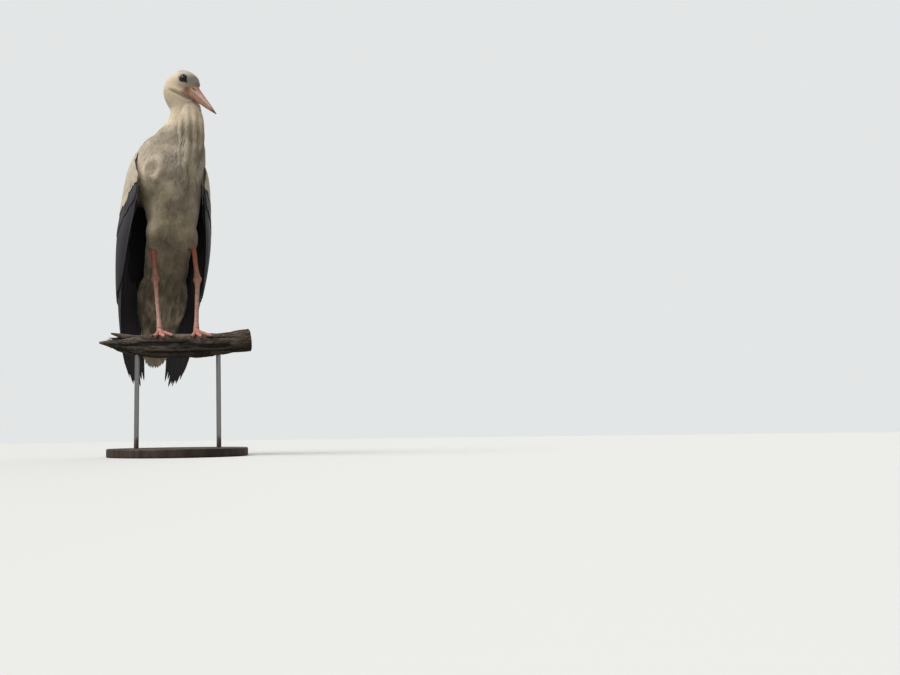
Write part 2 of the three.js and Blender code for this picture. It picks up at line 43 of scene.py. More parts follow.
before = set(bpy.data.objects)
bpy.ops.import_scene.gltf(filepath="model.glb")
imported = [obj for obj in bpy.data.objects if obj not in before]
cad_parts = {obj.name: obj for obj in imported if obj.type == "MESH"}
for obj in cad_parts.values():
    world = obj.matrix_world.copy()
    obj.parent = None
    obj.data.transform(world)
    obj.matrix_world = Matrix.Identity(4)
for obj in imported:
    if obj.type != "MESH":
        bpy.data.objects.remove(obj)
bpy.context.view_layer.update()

# Lengths are in millimetres in the bird's own frame: +Z is up from the top of the branch, the bird faces -Y
# and +X is its left. `to_frame` turns them into metres over the base.
MM = 0.001
BRANCH_TOP = 360
LEFT, RIGHT = 1, -1
SIDES = {"left": LEFT, "right": RIGHT}
BODY = np.array((-30.0, 26.0, -48.0))


def stations(*rows):
    return np.array(rows, float)


# The columns of a station are x, y, z, half width, depth in front and depth behind.
TRUNK = stations(
    (14, -46, 644, 66, 42, 40),
    (8, -36, 600, 100, 70, 60),
    (2, -24, 534, 107, 90, 78),
    (14, -6, 462, 88, 98, 86),
    (19, 16, 388, 75, 88, 82),
    (14, 54, 316, 72, 45, 60),
    (11, 85, 250, 70, 26, 38),
    (8, 104, 196, 56, 14, 20),
)
NECK = stations(
    (22, -36, 590, 92, 66, 56),
    (30, -50, 640, 78, 58, 48),
    (42, -62, 692, 54, 48, 42),
    (43, -70, 744, 46, 42, 40),
    (20, -70, 796, 47, 38, 42),
    (20, -74, 842, 27, 24, 28),
)
PLUMES = stations(
    (50, -108, 736, 20, 8, 14),
    (52, -114, 694, 36, 11, 26),
    (50, -117, 642, 38, 12, 30),
    (47, -118, 580, 28, 10, 24),
    (44, -117, 514, 7, 4, 9),
)
TAIL_COVERTS = stations(
    (10, 78, 258, 62, 14, 24),
    (9, 92, 202, 78, 18, 18),
    (7, 110, 140, 76, 18, 16),
    (4, 131, 78, 56, 13, 12),
    (0, 156, 4, 27, 6, 5),
)
HEAD_STATIONS = stations(
    (-52, 0, -3, 11, 8, 16),
    (-42, 0, -2, 30, 25, 44),
    (-22, 0, -1, 39, 34, 52),
    (0, 0, 0, 39, 35, 46),
    (18, 0, 0, 31, 34, 37),
    (31, 0, 0, 19, 28, 27),
    (43, 0, -1, 10, 19.5, 15),
)
BILL_STATIONS = stations(
    (0, 0, -4, 17, 23.5, 24),
    (0.25, 0, -4.6, 13.8, 17, 17.6),
    (0.5, 0, -5.4, 10.2, 12.4, 12.4),
    (0.75, 0, -6.2, 6.6, 8, 7.6),
    (1, 0, -7, 1.3, 1.5, 1.4),
)
# The thigh's columns are: share of the way down from the knee, how far inward from the bone, half width,
# depth in front and depth behind.
THIGH = stations(
    (-0.1, 34, 12, 8, 28),
    (0.2, 22, 24, 30, 38),
    (0.5, 11, 27, 33, 34),
    (0.77, 4, 20, 24, 22),
    (1, 0, 10.5, 11, 11),
)
# The closed wing's columns are: y, z, half width, depth behind and thickness.
WING = stations(
    (-34, 606, 98, 56, 12),
    (-24, 550, 122, 84, 22),
    (-8, 484, 134, 100, 27),
    (10, 416, 143, 104, 26),
    (30, 348, 150, 101, 23),
    (54, 280, 149, 92, 19),
    (82, 214, 144, 80, 15),
    (112, 148, 136, 66, 12),
    (140, 82, 126, 52, 9),
    (164, 18, 114, 40, 6),
    (184, -44, 98, 30, 4),
    (200, -98, 80, 22, 2.5),
)
BRANCH_STATIONS = stations(
    (-232, 4, -25, 2.5, 3, 3),
    (-208, 6, -27, 14, 10, 9),
    (-176, 4, -28, 26, 20, 23),
    (-134, 2, -30, 34, 26, 33),
    (-84, 0, -32, 38, 31, 38),
    (-30, 0, -32, 38, 32, 41),
    (30, 0, -32, 38, 32, 41),
    (90, -1, -30, 38, 32, 39),
    (150, -2, -24, 37, 32, 37),
    (215, 0, -16, 38, 33, 36),
)
SPLINTER = stations((-120, -6, -14, 14, 8, 12), (-158, -10, -8, 11, 7, 9), (-196, -14, 0, 2.5, 2, 2.5))
for table in (TRUNK, NECK, PLUMES, TAIL_COVERTS):
    table[:, :3] += BODY
WING[:, :2] += BODY[1:]

HEAD_AT = np.array((43.0, -92.0, 813.0)) + BODY
HEAD_TURN, HEAD_DIP, HEAD_ROLL = (math.radians(a) for a in (39 - 90, 47.5, 5))
HEAD_AXES = np.array(
    Matrix.Rotation(HEAD_TURN, 3, "Z")
    @ Matrix.Rotation(HEAD_DIP, 3, "Y")
    @ Matrix.Rotation(HEAD_ROLL, 3, "X")
)
# Places on the head are in its own frame: +X along the bill, +Y to its left, +Z up.
EYE_RADIUS, EYE_FORWARD, EYE_OUT, EYE_UP = 9.6, 5, 29, 10.5
BILL_START, BILL_LENGTH, BILL_MOUTH = 25, 139, -5
FOOT_SPREAD, ANKLE_HEIGHT, PALM_RADIUS = 53, 16, 10.5
BRANCH_TURN = math.radians(14)
BRANCH_HALF_HEIGHT, BRANCH_HALF_DEPTH = 32, 38
HEEL_RADIUS, TARSUS_RADIUS, TIBIA_RADIUS, BARE_TIBIA = 13.4, 7.2, 7.8, 96
# Length, angle out from straight ahead, and radius of each toe.
TOES = {"inner": (60, -29, 5.3), "middle": (78, -1, 5.7), "outer": (66, 29, 5.3), "hind": (36, 172, 5.0)}
PAD_LENGTH = 17
TAIL_LENGTH = 258
SAWN_RINGS = 9
COAT_SEED, WING_SEED, TAIL_SEED, SPLINTER_SEED = 5, 40, 71, 8
CLAW_LENGTH, CLAW_RADIUS = 13, 3.7
BASE_TOP, BASE_RADIUS = 24, 205
ROD_OUT, ROD_RADIUS, ROD_TOP = 120, 7, 334
LEFT_TIP_OUT = 13  # how far the tip of the left wing swings out
PLUME_REACH = 48  # how far from their middle line the plumes of the foreneck grow
# The wrist of the right wing pushes the feathers of the shoulder out in a ring round a low hollow.
WRIST, HOLLOW = np.array((-90.0, -68, 478)), np.array((-86.0, -70, 472))
# The wing's core lies between these shares of the wing's length, and of the way round it.
CORE_LENGTH, CORE_ROUND, CORE_BUFF = (0.015, 0.6), (0.04, 0.95), 0.4
WING_TONE, WING_BUFF = 0.62, 0.45

# How fine the skins are, with the rounds that soften a join, and how far the coat's feathers are spread.
BODY_GRID, LEG_GRID, EASE_ROUNDS, COAT_SPREAD = ((2.6, 1.05, 200, 0.85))
# Rings and sides of the bill and of the branch.
BILL_GRID, BRANCH_GRID = (((210, 72), (260, 128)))

# Where the parts of the coat meet: heights of the neck's foot, the undertail's top and the plumes' ends, how
# far the thighs' feathers reach round the bone, up and back, and how far those of the head do.
NECK_FROM, UNDERTAIL_TO, PLUMES_FROM, PLUMES_TO = 560, 215, 492, 706
THIGH_REACH, THIGH_TOP, THIGH_BACK = 47, 350, 75
HEAD_MIDDLE, HEAD_REACH, HEAD_BACK = (-2, 0, 0), 58, -48


# ---------------------------------------------------------------------------------------------------------
# Numbers and curves
# ---------------------------------------------------------------------------------------------------------


def unit(v):
    return v / np.maximum(np.linalg.norm(v, axis=-1, keepdims=True), 1e-9)


def lerp(a, b, s):
    return a + (b - a) * s


def smooth(x, low, high):
    s = np.clip((np.asarray(x, float) - low) / (high - low), 0, 1)
    return s * s * (3 - 2 * s)


def along(table, t):
    """A smooth curve through evenly placed rows of a table, at t from 0 to 1."""
    last = len(table) - 1
    place = np.clip(np.asarray(t, float), 0, 1) * last
    i = np.minimum(place.astype(int), last - 1)
    f = (place - i)[..., None]
    a, b, c, d = (table[np.clip(i + k, 0, last)] for k in (-1, 0, 1, 2))
    return b + 0.5 * f * (c - a + f * (2 * a - 5 * b + 4 * c - d + f * (3 * (b - c) + d - a)))


def noise(points, size, seed=0):
    """Smooth random values from -1 to 1, with lumps about `size` across."""
    q = np.asarray(points, float) / size + seed * 17.31
    cell = np.floor(q).astype(np.int64)
    f = q - cell
    f = f * f * (3 - 2 * f)
    total = 0.0
    for corner in itertools.product((0, 1), repeat=3):
        c = cell + np.array(corner)
        h = (c[..., 0] * 374761393 + c[..., 1] * 668265263 + c[..., 2] * 1442695041) & 0x7FFFFFFF
        h = ((h ^ (h >> 13)) * 1274126177) & 0x7FFFFFFF
        share = np.prod(np.where(np.array(corner) == 1, f, 1 - f), axis=-1)
        total = total + share * ((h ^ (h >> 16)) % 4096) / 4096
    return total * 2 - 1


def from_head(points):
    """Points of the head's own frame in the bird's frame."""
    return points @ HEAD_AXES.T + HEAD_AT


def head_point(x, y, z):
    return from_head(np.array((x, y, z)))


def in_head(points):
    """Points of the bird's frame in the head's own frame."""
    return (points - HEAD_AT) @ HEAD_AXES


def bump(x, middle, width):
    """A smooth hill, 1 high at its middle."""
    return np.exp(-(((x - middle) / width) ** 2))


def to_frame(points):
    return (np.asarray(points, float) + np.array((0, 0, BRANCH_TOP))) * MM


# ---------------------------------------------------------------------------------------------------------
# Solids from stations
# ---------------------------------------------------------------------------------------------------------


def circle(sides):
    return np.linspace(0, 2 * np.pi, sides, endpoint=False)


def loft(rings):
    """Vertices and faces of a closed solid through rings of the same number of points."""
    count, sides = rings.shape[:2]
    faces = []
    for r in range(count - 1):
        for i in range(sides):
            a, b = r * sides + i, r * sides + (i + 1) % sides
            faces.append((a, b, b + sides, a + sides))
    faces.append(tuple(range(sides))[::-1])
    faces.append(tuple(range((count - 1) * sides, count * sides)))
    return rings.reshape(-1, 3), faces


def ovals(table, rings, sides, facing=(0, -1, 0), power=2.0):
    """Rings of oval sections along a table of stations, as an array of rings, sides, 3."""
    t = np.linspace(0, 1, rings)
    at = along(table, t)
    after, before = along(table, np.minimum(t + 0.01, 1)), along(table, np.maximum(t - 0.01, 0))
    ahead = unit(after[:, :3] - before[:, :3])
    facing = np.asarray(facing, float)
    forth = unit(facing - (ahead @ facing)[:, None] * ahead)
    across = np.cross(forth, ahead)
    x, y = (np.sign(v) * np.abs(v) ** (2 / power) for v in (np.sin(circle(sides)), np.cos(circle(sides))))
    wide, deep = at[:, 3:4] * x, np.where(y > 0, at[:, 4:5], at[:, 5:6]) * y
    return at[:, None, :3] + across[:, None] * wide[..., None] + forth[:, None] * deep[..., None]


def limb(points, radii, rings=24, sides=20):
    """A round limb through points, each with its radius."""
    radii = np.asarray(radii, float)[:, None]
    table = np.hstack([np.asarray(points, float), radii, radii, radii])
    return loft(ovals(table, rings, sides, facing=(0, -1, 0.01)))


def ball(centre, radius):
    around = circle(20)
    ring = np.stack([np.cos(around), np.sin(around), 0 * around], -1)
    up = np.array((0, 0, 1.0))
    polar = np.linspace(0.02, np.pi - 0.02, 14)
    return loft(np.array([centre + radius * (np.sin(p) * ring + np.cos(p) * up) for p in polar]))


def joined(parts):
    verts, faces, start = [], [], 0
    for v, f in parts:
        verts.append(v)
        faces += [tuple(i + start for i in face) for face in f]
        start += len(v)
    return np.vstack(verts), faces


def fused(parts, voxel, softness):
    """One smooth closed skin round overlapping solids, as vertices and faces."""
    verts, faces = joined(parts)
    mesh = bpy.data.meshes.new("fused")
    mesh.from_pydata(verts.tolist(), [], faces)
    ob = bpy.data.objects.new("fused", mesh)
    bpy.context.scene.collection.objects.link(ob)
    grid = ob.modifiers.new("grid", "REMESH")
    grid.mode = "VOXEL"
    grid.voxel_size = voxel
    soft = ob.modifiers.new("soft", "SMOOTH")
    soft.factor = 0.5
    soft.iterations = softness
    done = ob.evaluated_get(bpy.context.evaluated_depsgraph_get()).to_mesh()
    points = np.empty(len(done.vertices) * 3)
    done.vertices.foreach_get("co", points)
    quads = [tuple(p.vertices) for p in done.polygons]
    bpy.data.objects.remove(ob)
    bpy.data.meshes.remove(mesh)
    return points.reshape(-1, 3), quads


def eased(verts, faces, mask, rounds, sinking):
    """Points drawn towards their neighbours as far as the mask lets them. `sinking` is how much may sink."""
    quads = np.array([f for f in faces if len(f) == 4])
    start, end = np.vstack([quads[:, (k, (k + 1) % 4)] for k in range(4)]).T
    count = np.maximum(np.bincount(start, minlength=len(verts)), 1)[:, None]
    for turn in range(rounds):
        if turn % 20 == 0:
            normals = normals_of(verts, faces)
        mean = np.stack([np.bincount(start, verts[end, k], len(verts)) for k in range(3)], -1) / count
        move = mean - verts
        inward = np.minimum((move * normals).sum(1, keepdims=True), 0)
        verts = verts + 0.7 * mask[:, None] * (move - (1 - sinking) * inward * normals)
    return verts


def normals_of(verts, faces):
    """Smooth outward normals of a mesh of quads."""
    quads = np.array([f for f in faces if len(f) == 4])
    a, b, c, d = (verts[quads[:, k]] for k in range(4))
    flat = np.cross(c - a, d - b)
    out = np.zeros_like(verts)
    for k in range(4):
        np.add.at(out, quads[:, k], flat)
    return unit(out)


TRIES = 9  # points tried for each one that there is room for
NEAREST = 0.86  # share of the spacing that two points may come near each other


class Surface:
    """A smooth outer surface that feathers lie on."""

    def __init__(self, verts, faces):
        self.verts, self.faces = verts, [f for f in faces if len(f) == 4]
        self.normals = normals_of(verts, self.faces)
        self.tree = BVHTree.FromPolygons(verts.tolist(), self.faces)
        self.corners = np.array(self.faces)
        self.face_normals = unit(self.normals[self.corners].mean(1))
        self.centres = verts[self.corners].mean(1)
        a, b, c, d = (verts[self.corners[:, k]] for k in range(4))
        self.areas = np.linalg.norm(np.cross(c - a, d - b), axis=1) / 2

    def nearest(self, points):
        found = [self.tree.find_nearest(p) for p in points.reshape(-1, 3).tolist()]
        place = np.array([tuple(f[0]) for f in found])
        normal = self.face_normals[[f[2] for f in found]]
        return place.reshape(points.shape), normal.reshape(points.shape)

    def scatter(self, spacing, rng, keep):
        """Points spread over the parts to keep of the surface, with the spacing between them."""
        density = self.areas / spacing(self.centres) ** 2 * keep(self.centres)
        chosen = rng.choice(len(density), size=int(density.sum() * TRIES), p=density / density.sum())
        a, b, c, d = (self.verts[self.corners[chosen, k]] for k in range(4))
        s, t = rng.random((2, len(chosen), 1))
        points = lerp(lerp(a, b, s), lerp(d, c, s), t)
        gaps = spacing(points)
        cells = np.floor(points / float(gaps.max())).astype(int)
        taken, kept = {}, []
        around = list(itertools.product((-1, 0, 1), repeat=3))
        rows = zip(points.tolist(), gaps.tolist(), cells.tolist())
        for i, (place, gap_here, (cx, cy, cz)) in enumerate(rows):
            near = (p for dx, dy, dz in around for p in taken.get((cx + dx, cy + dy, cz + dz), ()))
            if all(math.dist(place, p) >= gap_here * NEAREST for p in near):
                taken.setdefault((cx, cy, cz), []).append(place)
                kept.append(i)
        return points[kept], self.face_normals[chosen[kept]]


# ---------------------------------------------------------------------------------------------------------
# Meshes, materials and pieces
# ---------------------------------------------------------------------------------------------------------


def make_piece(name, verts, faces, look, replaces=(), marks=None, uvs=None, rim=None):
    """A finished mesh of the stork, in metres in the frame, that rides on its one body."""
    mesh = bpy.data.meshes.new(name)
    mesh.from_pydata(to_frame(verts).tolist(), [], faces)
    mesh.polygons.foreach_set("use_smooth", np.ones(len(mesh.polygons), bool))
    if marks is not None:
        paint = mesh.color_attributes.new("marks", "FLOAT_COLOR", "POINT")
        rgba = np.hstack([marks, np.ones((len(verts), 1))])
        paint.data.foreach_set("color", rgba.astype(np.float32).ravel())
    loops = np.empty(len(mesh.loops), int)
    mesh.loops.foreach_get("vertex_index", loops)
    for title, uv in (uvs or {}).items():
        layer = mesh.uv_layers.new(name=title)
        layer.uv.foreach_set("vector", uv[loops].astype(np.float32).ravel())
    if rim is not None:
        ends = np.empty(len(mesh.edges) * 2, int)
        mesh.edges.foreach_get("vertices", ends)
        sharp = (rim[ends[::2]] & rim[ends[1::2]]) > 0
        mesh.attributes.new("sharp_edge", "BOOLEAN", "EDGE").data.foreach_set("value", sharp)
    mesh.materials.append(look)
    ob = bpy.data.objects.new(name, mesh)
    bpy.context.scene.collection.objects.link(ob)
    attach(ob, "root")
    if replaces:
        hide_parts(*replaces)
    return ob


class Tree:
    """A short way to fill a node tree: each call makes one node and returns its first output."""

    def __init__(self, tree):
        self.tree, self.coordinates = tree, None

    def put(self, value, socket):
        """Links or sets a socket. A plain colour gets its alpha."""
        if isinstance(value, bpy.types.NodeSocket):
            self.tree.links.new(value, socket)
        elif socket.type == "RGBA":
            socket.default_value = (*tuple(value)[:3], 1.0)
        else:
            socket.default_value = value

    def add(self, kind, output=0, settings=None, **inputs):
        node = self.tree.nodes.new("ShaderNode" + kind)
        for key, value in (settings or {}).items():
            setattr(node, key, value)
        for key, value in inputs.items():
            self.put(value, node.inputs[key.replace("_", " ")])
        return node.outputs[output] if output is not None else node

    def numbered(self, kind, output, settings, inputs):
        """A node whose sockets share their names, with its inputs by number."""
        node = self.add(kind, None, settings)
        for key, value in inputs.items():
            self.put(value, node.inputs[key])
        return node.outputs[output]

    def maths(self, operation, *terms):
        return self.numbered("Math", 0, {"operation": operation}, dict(enumerate(terms)))

    def mix(self, share, a, b, blend="MIX"):
        settings = {"data_type": "RGBA", "blend_type": blend}
        return self.numbered("Mix", 2, settings, {0: share, 6: a, 7: b})

    def ramp(self, value, low, high, out_low=0.0, out_high=1.0):
        ends = dict(From_Min=low, From_Max=high, To_Min=out_low, To_Max=out_high)
        return self.add("MapRange", 0, {"interpolation_type": "SMOOTHSTEP"}, Value=value, **ends)

    def shade(self, colour, value):
        """A colour made darker or lighter by a value."""
        grey = self.add("CombineColor", 0, Red=value, Green=value, Blue=value)
        return self.mix(1.0, colour, grey, "MULTIPLY")

    def noise(self, place, scale, detail, **more):
        return self.add("TexNoise", 0, Vector=place, Scale=scale, Detail=detail, **more)

    def place(self):
        """The object's own coordinates, from one node."""
        if self.coordinates is None:
            self.coordinates = self.add("TexCoord", "Object")
        return self.coordinates

    def marks(self):
        """The three masks that the surface carries: red, green and blue of its marks."""
        paint = self.add("Attribute", "Color", {"attribute_name": "marks"})
        return self.add("SeparateColor", None, Color=paint).outputs

    def group(self, made, **inputs):
        return self.add("Group", None, {"node_tree": made}, **inputs).outputs


def group(name, inputs, outputs, paint):
    """A shader node group, made once. `paint` gets its tree and input sockets and returns its outputs."""
    if name in bpy.data.node_groups:
        return bpy.data.node_groups[name]
    made = bpy.data.node_groups.new(name, "ShaderNodeTree")
    for title, default in inputs.items():
        kind = "NodeSocketVector" if default is None else "NodeSocketFloat"
        socket = made.interface.new_socket(title, in_out="INPUT", socket_type=kind)
        if default is not None:
            socket.default_value = default
    for title in outputs:
        made.interface.new_socket(title, in_out="OUTPUT", socket_type="NodeSocketFloat")
    source, sink = made.nodes.new("NodeGroupInput"), made.nodes.new("NodeGroupOutput")
    for title, value in zip(outputs, paint(Tree(made), source.outputs)):
        made.links.new(value, sink.inputs[title])
    return made


def material(name, paint, **values):
    """A material with one Principled shader. `paint` gets its tree and returns the sockets to link."""
    made = bpy.data.materials.new(name)
    made.use_nodes = True
    tree = Tree(made.node_tree)
    shader = made.node_tree.nodes["Principled BSDF"]
    for key, value in values.items():
        shader.inputs[key.replace("_", " ")].default_value = value
    for key, socket in paint(tree).items():
        if key == "Height":
            strength, distance, height = socket
            key, socket = "Normal", tree.add("Bump", Strength=strength, Distance=distance, Height=height)
        made.node_tree.links.new(socket, shader.inputs[key])
    return made


# ---------------------------------------------------------------------------------------------------------
# Feathers
# ---------------------------------------------------------------------------------------------------------

# Share of its full width that each kind of vane has, at even steps from its root to its tip.
OUTLINES = {
    "round": (0.34, 0.66, 0.86, 0.97, 1.0, 0.9, 0.5),
    "lance": (0.4, 0.75, 0.98, 1.0, 0.86, 0.58, 0.12),
    "blade": (0.3, 0.62, 0.84, 0.95, 1.0, 1.0, 0.98, 0.93, 0.8, 0.42),
    "point": (0.3, 0.66, 0.9, 1.0, 0.98, 0.9, 0.78, 0.6, 0.4, 0.16),
}
PATCH = 0.003  # size of one feather on the map that its colours are kept on
FLOW_PULL = 0.35  # how far each step of a feather turns back to the flow of the coat


def vane_faces(rows, cols):
    """Faces of one vane: its arched top, its flat underside and its two ends."""
    faces = []
    for r in range(rows - 1):
        for c in range(cols - 1):
            a = r * cols + c
            faces.append((a, a + 1, a + cols + 1, a + cols))
        a, b = r * cols, r * cols + cols - 1
        faces.append((b, a, a + cols, b + cols))
    faces.append(tuple(range(cols))[::-1])
    faces.append(tuple(range((rows - 1) * cols, rows * cols)))
    return faces


class Plumage:
    """Collects many vanes and makes one piece of them."""

    def __init__(self):
        self.verts, self.faces, self.marks = [], [], []
        self.vane, self.bake, self.rims, self.count = [], [], [], 0

    def add(self, verts, steps, marks, roots):
        """verts is feathers, rows, cols, 3. marks is three masks for each feather or each point."""
        n, rows, cols = verts.shape[:3]
        template = vane_faces(rows, cols)
        size = rows * cols
        for i in range(n):
            start = self.count + i * size
            self.faces += [tuple(k + start for k in face) for face in template]
        self.count += n * size
        self.verts.append(verts.reshape(-1, 3))
        x = np.linspace(0, 1, cols)
        local = np.stack(np.broadcast_arrays(x[None, :], np.asarray(steps)[:, None]), -1).reshape(-1, 2)
        self.vane.append(np.tile(local, (n, 1)))
        self.bake.append((roots[:, None] + (local - 0.5) * PATCH).reshape(-1, 2))
        if marks.ndim == 2:
            marks = np.repeat(marks[:, None], size, axis=1)
        self.marks.append(marks.reshape(-1, 3))
        # Each side and end of a vane has its own bit, and an edge is sharp where its points share one.
        rim = np.zeros((rows, cols), int)
        rim[:, 0], rim[:, -1] = 1, 2
        rim[0] += 4
        rim[-1] += 8
        self.rims.append(np.tile(rim.ravel(), n))

    def piece(self, name, look, slot, replaces=()):
        verts, marks, rims = np.vstack(self.verts), np.vstack(self.marks), np.concatenate(self.rims)
        uvs = {"vane": np.vstack(self.vane), "OFBake": np.vstack(self.bake)}
        make_piece(name, verts, self.faces, look, replaces, marks, uvs, rims)


def outline_at(kind, steps):
    outline = OUTLINES[kind]
    return np.interp(steps, np.linspace(0, 1, len(outline)), outline)


def bites(count, cols, ragged, hollow, rng):
    """How far each line of barbs ends before the tip, as a share of the vane's length."""
    bite = ragged * rng.random((count, cols)) + hollow * np.linspace(-1, 1, cols) ** 2
    bite[:, cols // 2] = 0
    return bite


def shaped(path, normal, width, kind, steps, cols, camber, ragged, rng, length):
    """Vanes on middle lines: path and normal are feathers, rows, 3. Their edges lie on the path's height."""
    tangent = unit(np.gradient(path, axis=1))
    across = unit(np.cross(tangent, normal))
    x = np.linspace(-1, 1, cols)
    half = width[:, None] * outline_at(kind, steps) / 2
    bite = bites(len(path), cols, ragged, 0.05, rng)
    side = (half[..., None] * x)[..., None] * across[:, :, None]
    arch = (camber * half[..., None] * (1 - x**2))[..., None] * normal[:, :, None]
    back = (length[:, None, None] * bite[:, None] * np.asarray(steps)[None, :, None] ** 4)[..., None]
    return path[:, :, None] + side + arch - back * tangent[:, :, None]


def flattened(ways, normals):
    """Directions turned into the surface."""
    return unit(ways - (ways * normals).sum(1, keepdims=True) * normals)


def laid(surface, roots, normals, flow, length, steps, sink, rise, turn):
    """Middle lines from each root along the flow over the surface, from `sink` under it to `rise` over it."""
    path = np.empty((len(roots), len(steps), 3))
    up = np.empty_like(path)
    here, normal = roots, normals
    ahead = flattened(flow(here), normal)
    ahead = unit(ahead * np.cos(turn)[:, None] + np.cross(normal, ahead) * np.sin(turn)[:, None])
    path[:, 0], up[:, 0] = here, normal
    for r in range(1, len(steps)):
        step = ((steps[r] - steps[r - 1]) * length)[:, None]
        here, normal = surface.nearest(here + ahead * step)
        ahead = unit(lerp(flattened(ahead, normal), flattened(flow(here), normal), FLOW_PULL))
        path[:, r], up[:, r] = here, normal
    s = np.asarray(steps)
    height = -sink[:, None] * (1 - s) ** 4 + rise[:, None] * (s - 0.35)
    return path + up * height[..., None], up


# ---------------------------------------------------------------------------------------------------------
# The bird's surfaces
# ---------------------------------------------------------------------------------------------------------


def leg_points(side):
    foot = np.array((side * FOOT_SPREAD, -side * FOOT_SPREAD * math.tan(BRANCH_TURN), ANKLE_HEIGHT))
    heel = np.array((side * 64 + 10, foot[1] + 66, 184))
    knee = np.array((side * 62 - 26, -6, 360))
    return foot, heel, knee


def thigh_table(side):
    _, heel, knee = leg_points(side)
    bottom = heel + unit(knee - heel) * BARE_TIBIA
    centre = lerp(knee, bottom, THIGH[:, :1]) - side * THIGH[:, 1:2] * np.array((1, 0, 0))
    return np.hstack([centre, THIGH[:, 2:]])


def to_axis(points, table, steps=40):
    """Distance from each point to a table's middle line, and how far along that is."""
    t = np.linspace(0, 1, steps)
    line = along(table, t)[:, :3]
    gap = np.linalg.norm(points[:, None] - line[None], axis=2)
    return gap.min(1), t[gap.argmin(1)]


SURFACE = {}


def outer_surface():
    """The smooth outside of head, neck, trunk, thighs and undertail, made once."""
    if not SURFACE:
        parts = [
            loft(ovals(TRUNK, 56, 72)),
            loft(ovals(NECK, 48, 64)),
            loft(ovals(PLUMES, 32, 40)),
            loft(ovals(TAIL_COVERTS, 32, 40)),
            loft(from_head(ovals(HEAD_STATIONS, 40, 56, (0, 0, 1)))),
        ]
        parts += [loft(ovals(thigh_table(side), 30, 40)) for side in SIDES.values()]
        verts, faces = fused(parts, BODY_GRID, 12)
        # The joins at the nape and the thighs are softened first, then the end of the plumes.
        nape, plumes_end = head_point(-46, 0, 8), PLUMES[4, :3] + (0, 0, 8)
        tops = [thigh_table(side)[0, :3] + (0, -8, -6) for side in SIDES.values()]
        for joins, sinking in (
            ([(nape, 62)] + [(top, 74) for top in tops], 0.25),
            ([(plumes_end, 52)], 1.0),
        ):
            gaps = ((np.linalg.norm(verts - place, axis=1), reach) for place, reach in joins)
            mask = sum(1 - smooth(gap, 0.45 * reach, reach) for gap, reach in gaps)
            verts = eased(verts, faces, np.minimum(mask, 1), EASE_ROUNDS, sinking)
        verts = verts + normals_of(verts, faces) * relief(verts)[:, None]
        SURFACE["body"] = Surface(verts, faces)
    return SURFACE["body"]


def jaw_line(points):
    """How far points lie above the fold under the cheek, and a mask of the places near enough to it."""
    head = in_head(points)
    x, y = head[:, 0], np.abs(head[:, 1])
    above = head[:, 2] + 36 - 0.22 * (x - 10) + 0.05 * np.maximum(4 - x, 0) ** 1.5
    near = smooth(x, -12, 14) * (1 - smooth(x, 47, 60)) * smooth(y, 2, 14) * (1 - smooth(y, 54, 66))
    return above, near


# The lobes in which the foreneck's long feathers end: their places across the breast, and their heights.
LOBES_ACROSS = (-75, -45, -22, -5, 7, 18, 32, 50, 80)
LOBES_HEIGHT = (458, 452, 462, 474, 486, 456, 474, 490, 510)


def brim_line(points):
    """Height of the lower ends of the lobes over the belly, and a mask of the bird's front."""
    x, y, _ = points.T
    line = np.interp(x, LOBES_ACROSS, LOBES_HEIGHT)
    return line, (1 - smooth(y, -70, -30)) * (1 - smooth(np.abs(x - 4), 62, 92))


def plume_mask(points):
    """Mask of the long hanging plumes down the front of the neck."""
    mask = smooth(PLUME_REACH - to_axis(points, PLUMES)[0], 0, 16) * (1 - smooth(points[:, 2], 600, 712))
    return mask * (1 - smooth(points[:, 1], -66, -56))


def strand_wave(points):
    """Waves across the plumes, which part them into strands."""
    return np.sin(points[:, 0] * 2 * np.pi / 21 + 1.6 * noise(points, 55, 14))


LUMPS = ((2.4, 62, 31), (1.1, 27, 32), (0.5, 12, 33))  # height, size and seed of the coat's swellings


def relief(points):
    """Low folds and swellings of the coat, in millimetres out from the smooth body."""
    above, near = jaw_line(points)
    fold = near * (2.0 * bump(above, 8, 6) - 6.0 * bump(above, 0, 3.4))
    wrist, hollow = (np.linalg.norm((points - place) / (1, 1, 1.1), axis=1) for place in (WRIST, HOLLOW))
    swirl = 5 * bump(wrist, 24, 12) - 3 * bump(hollow, 0, 12)
    lumps = sum(high * noise(points, size, seed) for high, size, seed in LUMPS)
    body = smooth(np.linalg.norm(in_head(points), axis=1), 70, 110)
    line, front = brim_line(points)
    z = points[:, 2]
    brim = 7.0 * smooth(z, line - 4, line + 18) * (1 - smooth(z, line + 40, line + 120))
    brim = (brim - 3.0 * bump(z - line, -9, 11)) * front
    strands = 1.7 * plume_mask(points) * strand_wave(points)
    return fold + swirl + lumps * body + brim + strands


# Heights on the body, and how far apart the small feathers stand there.
GRAIN_HEIGHTS = (-40, 90, 200, 330, 470, 560, 640, 700, 740)
GRAIN_SIZES = (5.6, 6.4, 7.0, 7.2, 6.8, 6.0, 5.0, 4.0, 3.2)


def grain(points):
    """How far apart the small feathers stand at each point."""
    size = np.interp(points[:, 2], GRAIN_HEIGHTS, GRAIN_SIZES)
    head = in_head(points)
    far = np.linalg.norm(head - np.array((4, 0, 0)), axis=1)
    face = lerp(1.9, 2.6, smooth(-head[:, 0], -25, 20))
    size = lerp(face, size, smooth(far, 50, 74))
    for side in SIDES.values():
        gap, share = to_axis(points, thigh_table(side))
        size = lerp(lerp(5.6, 3.2, share), size, smooth(gap, 40, 58))
    return size


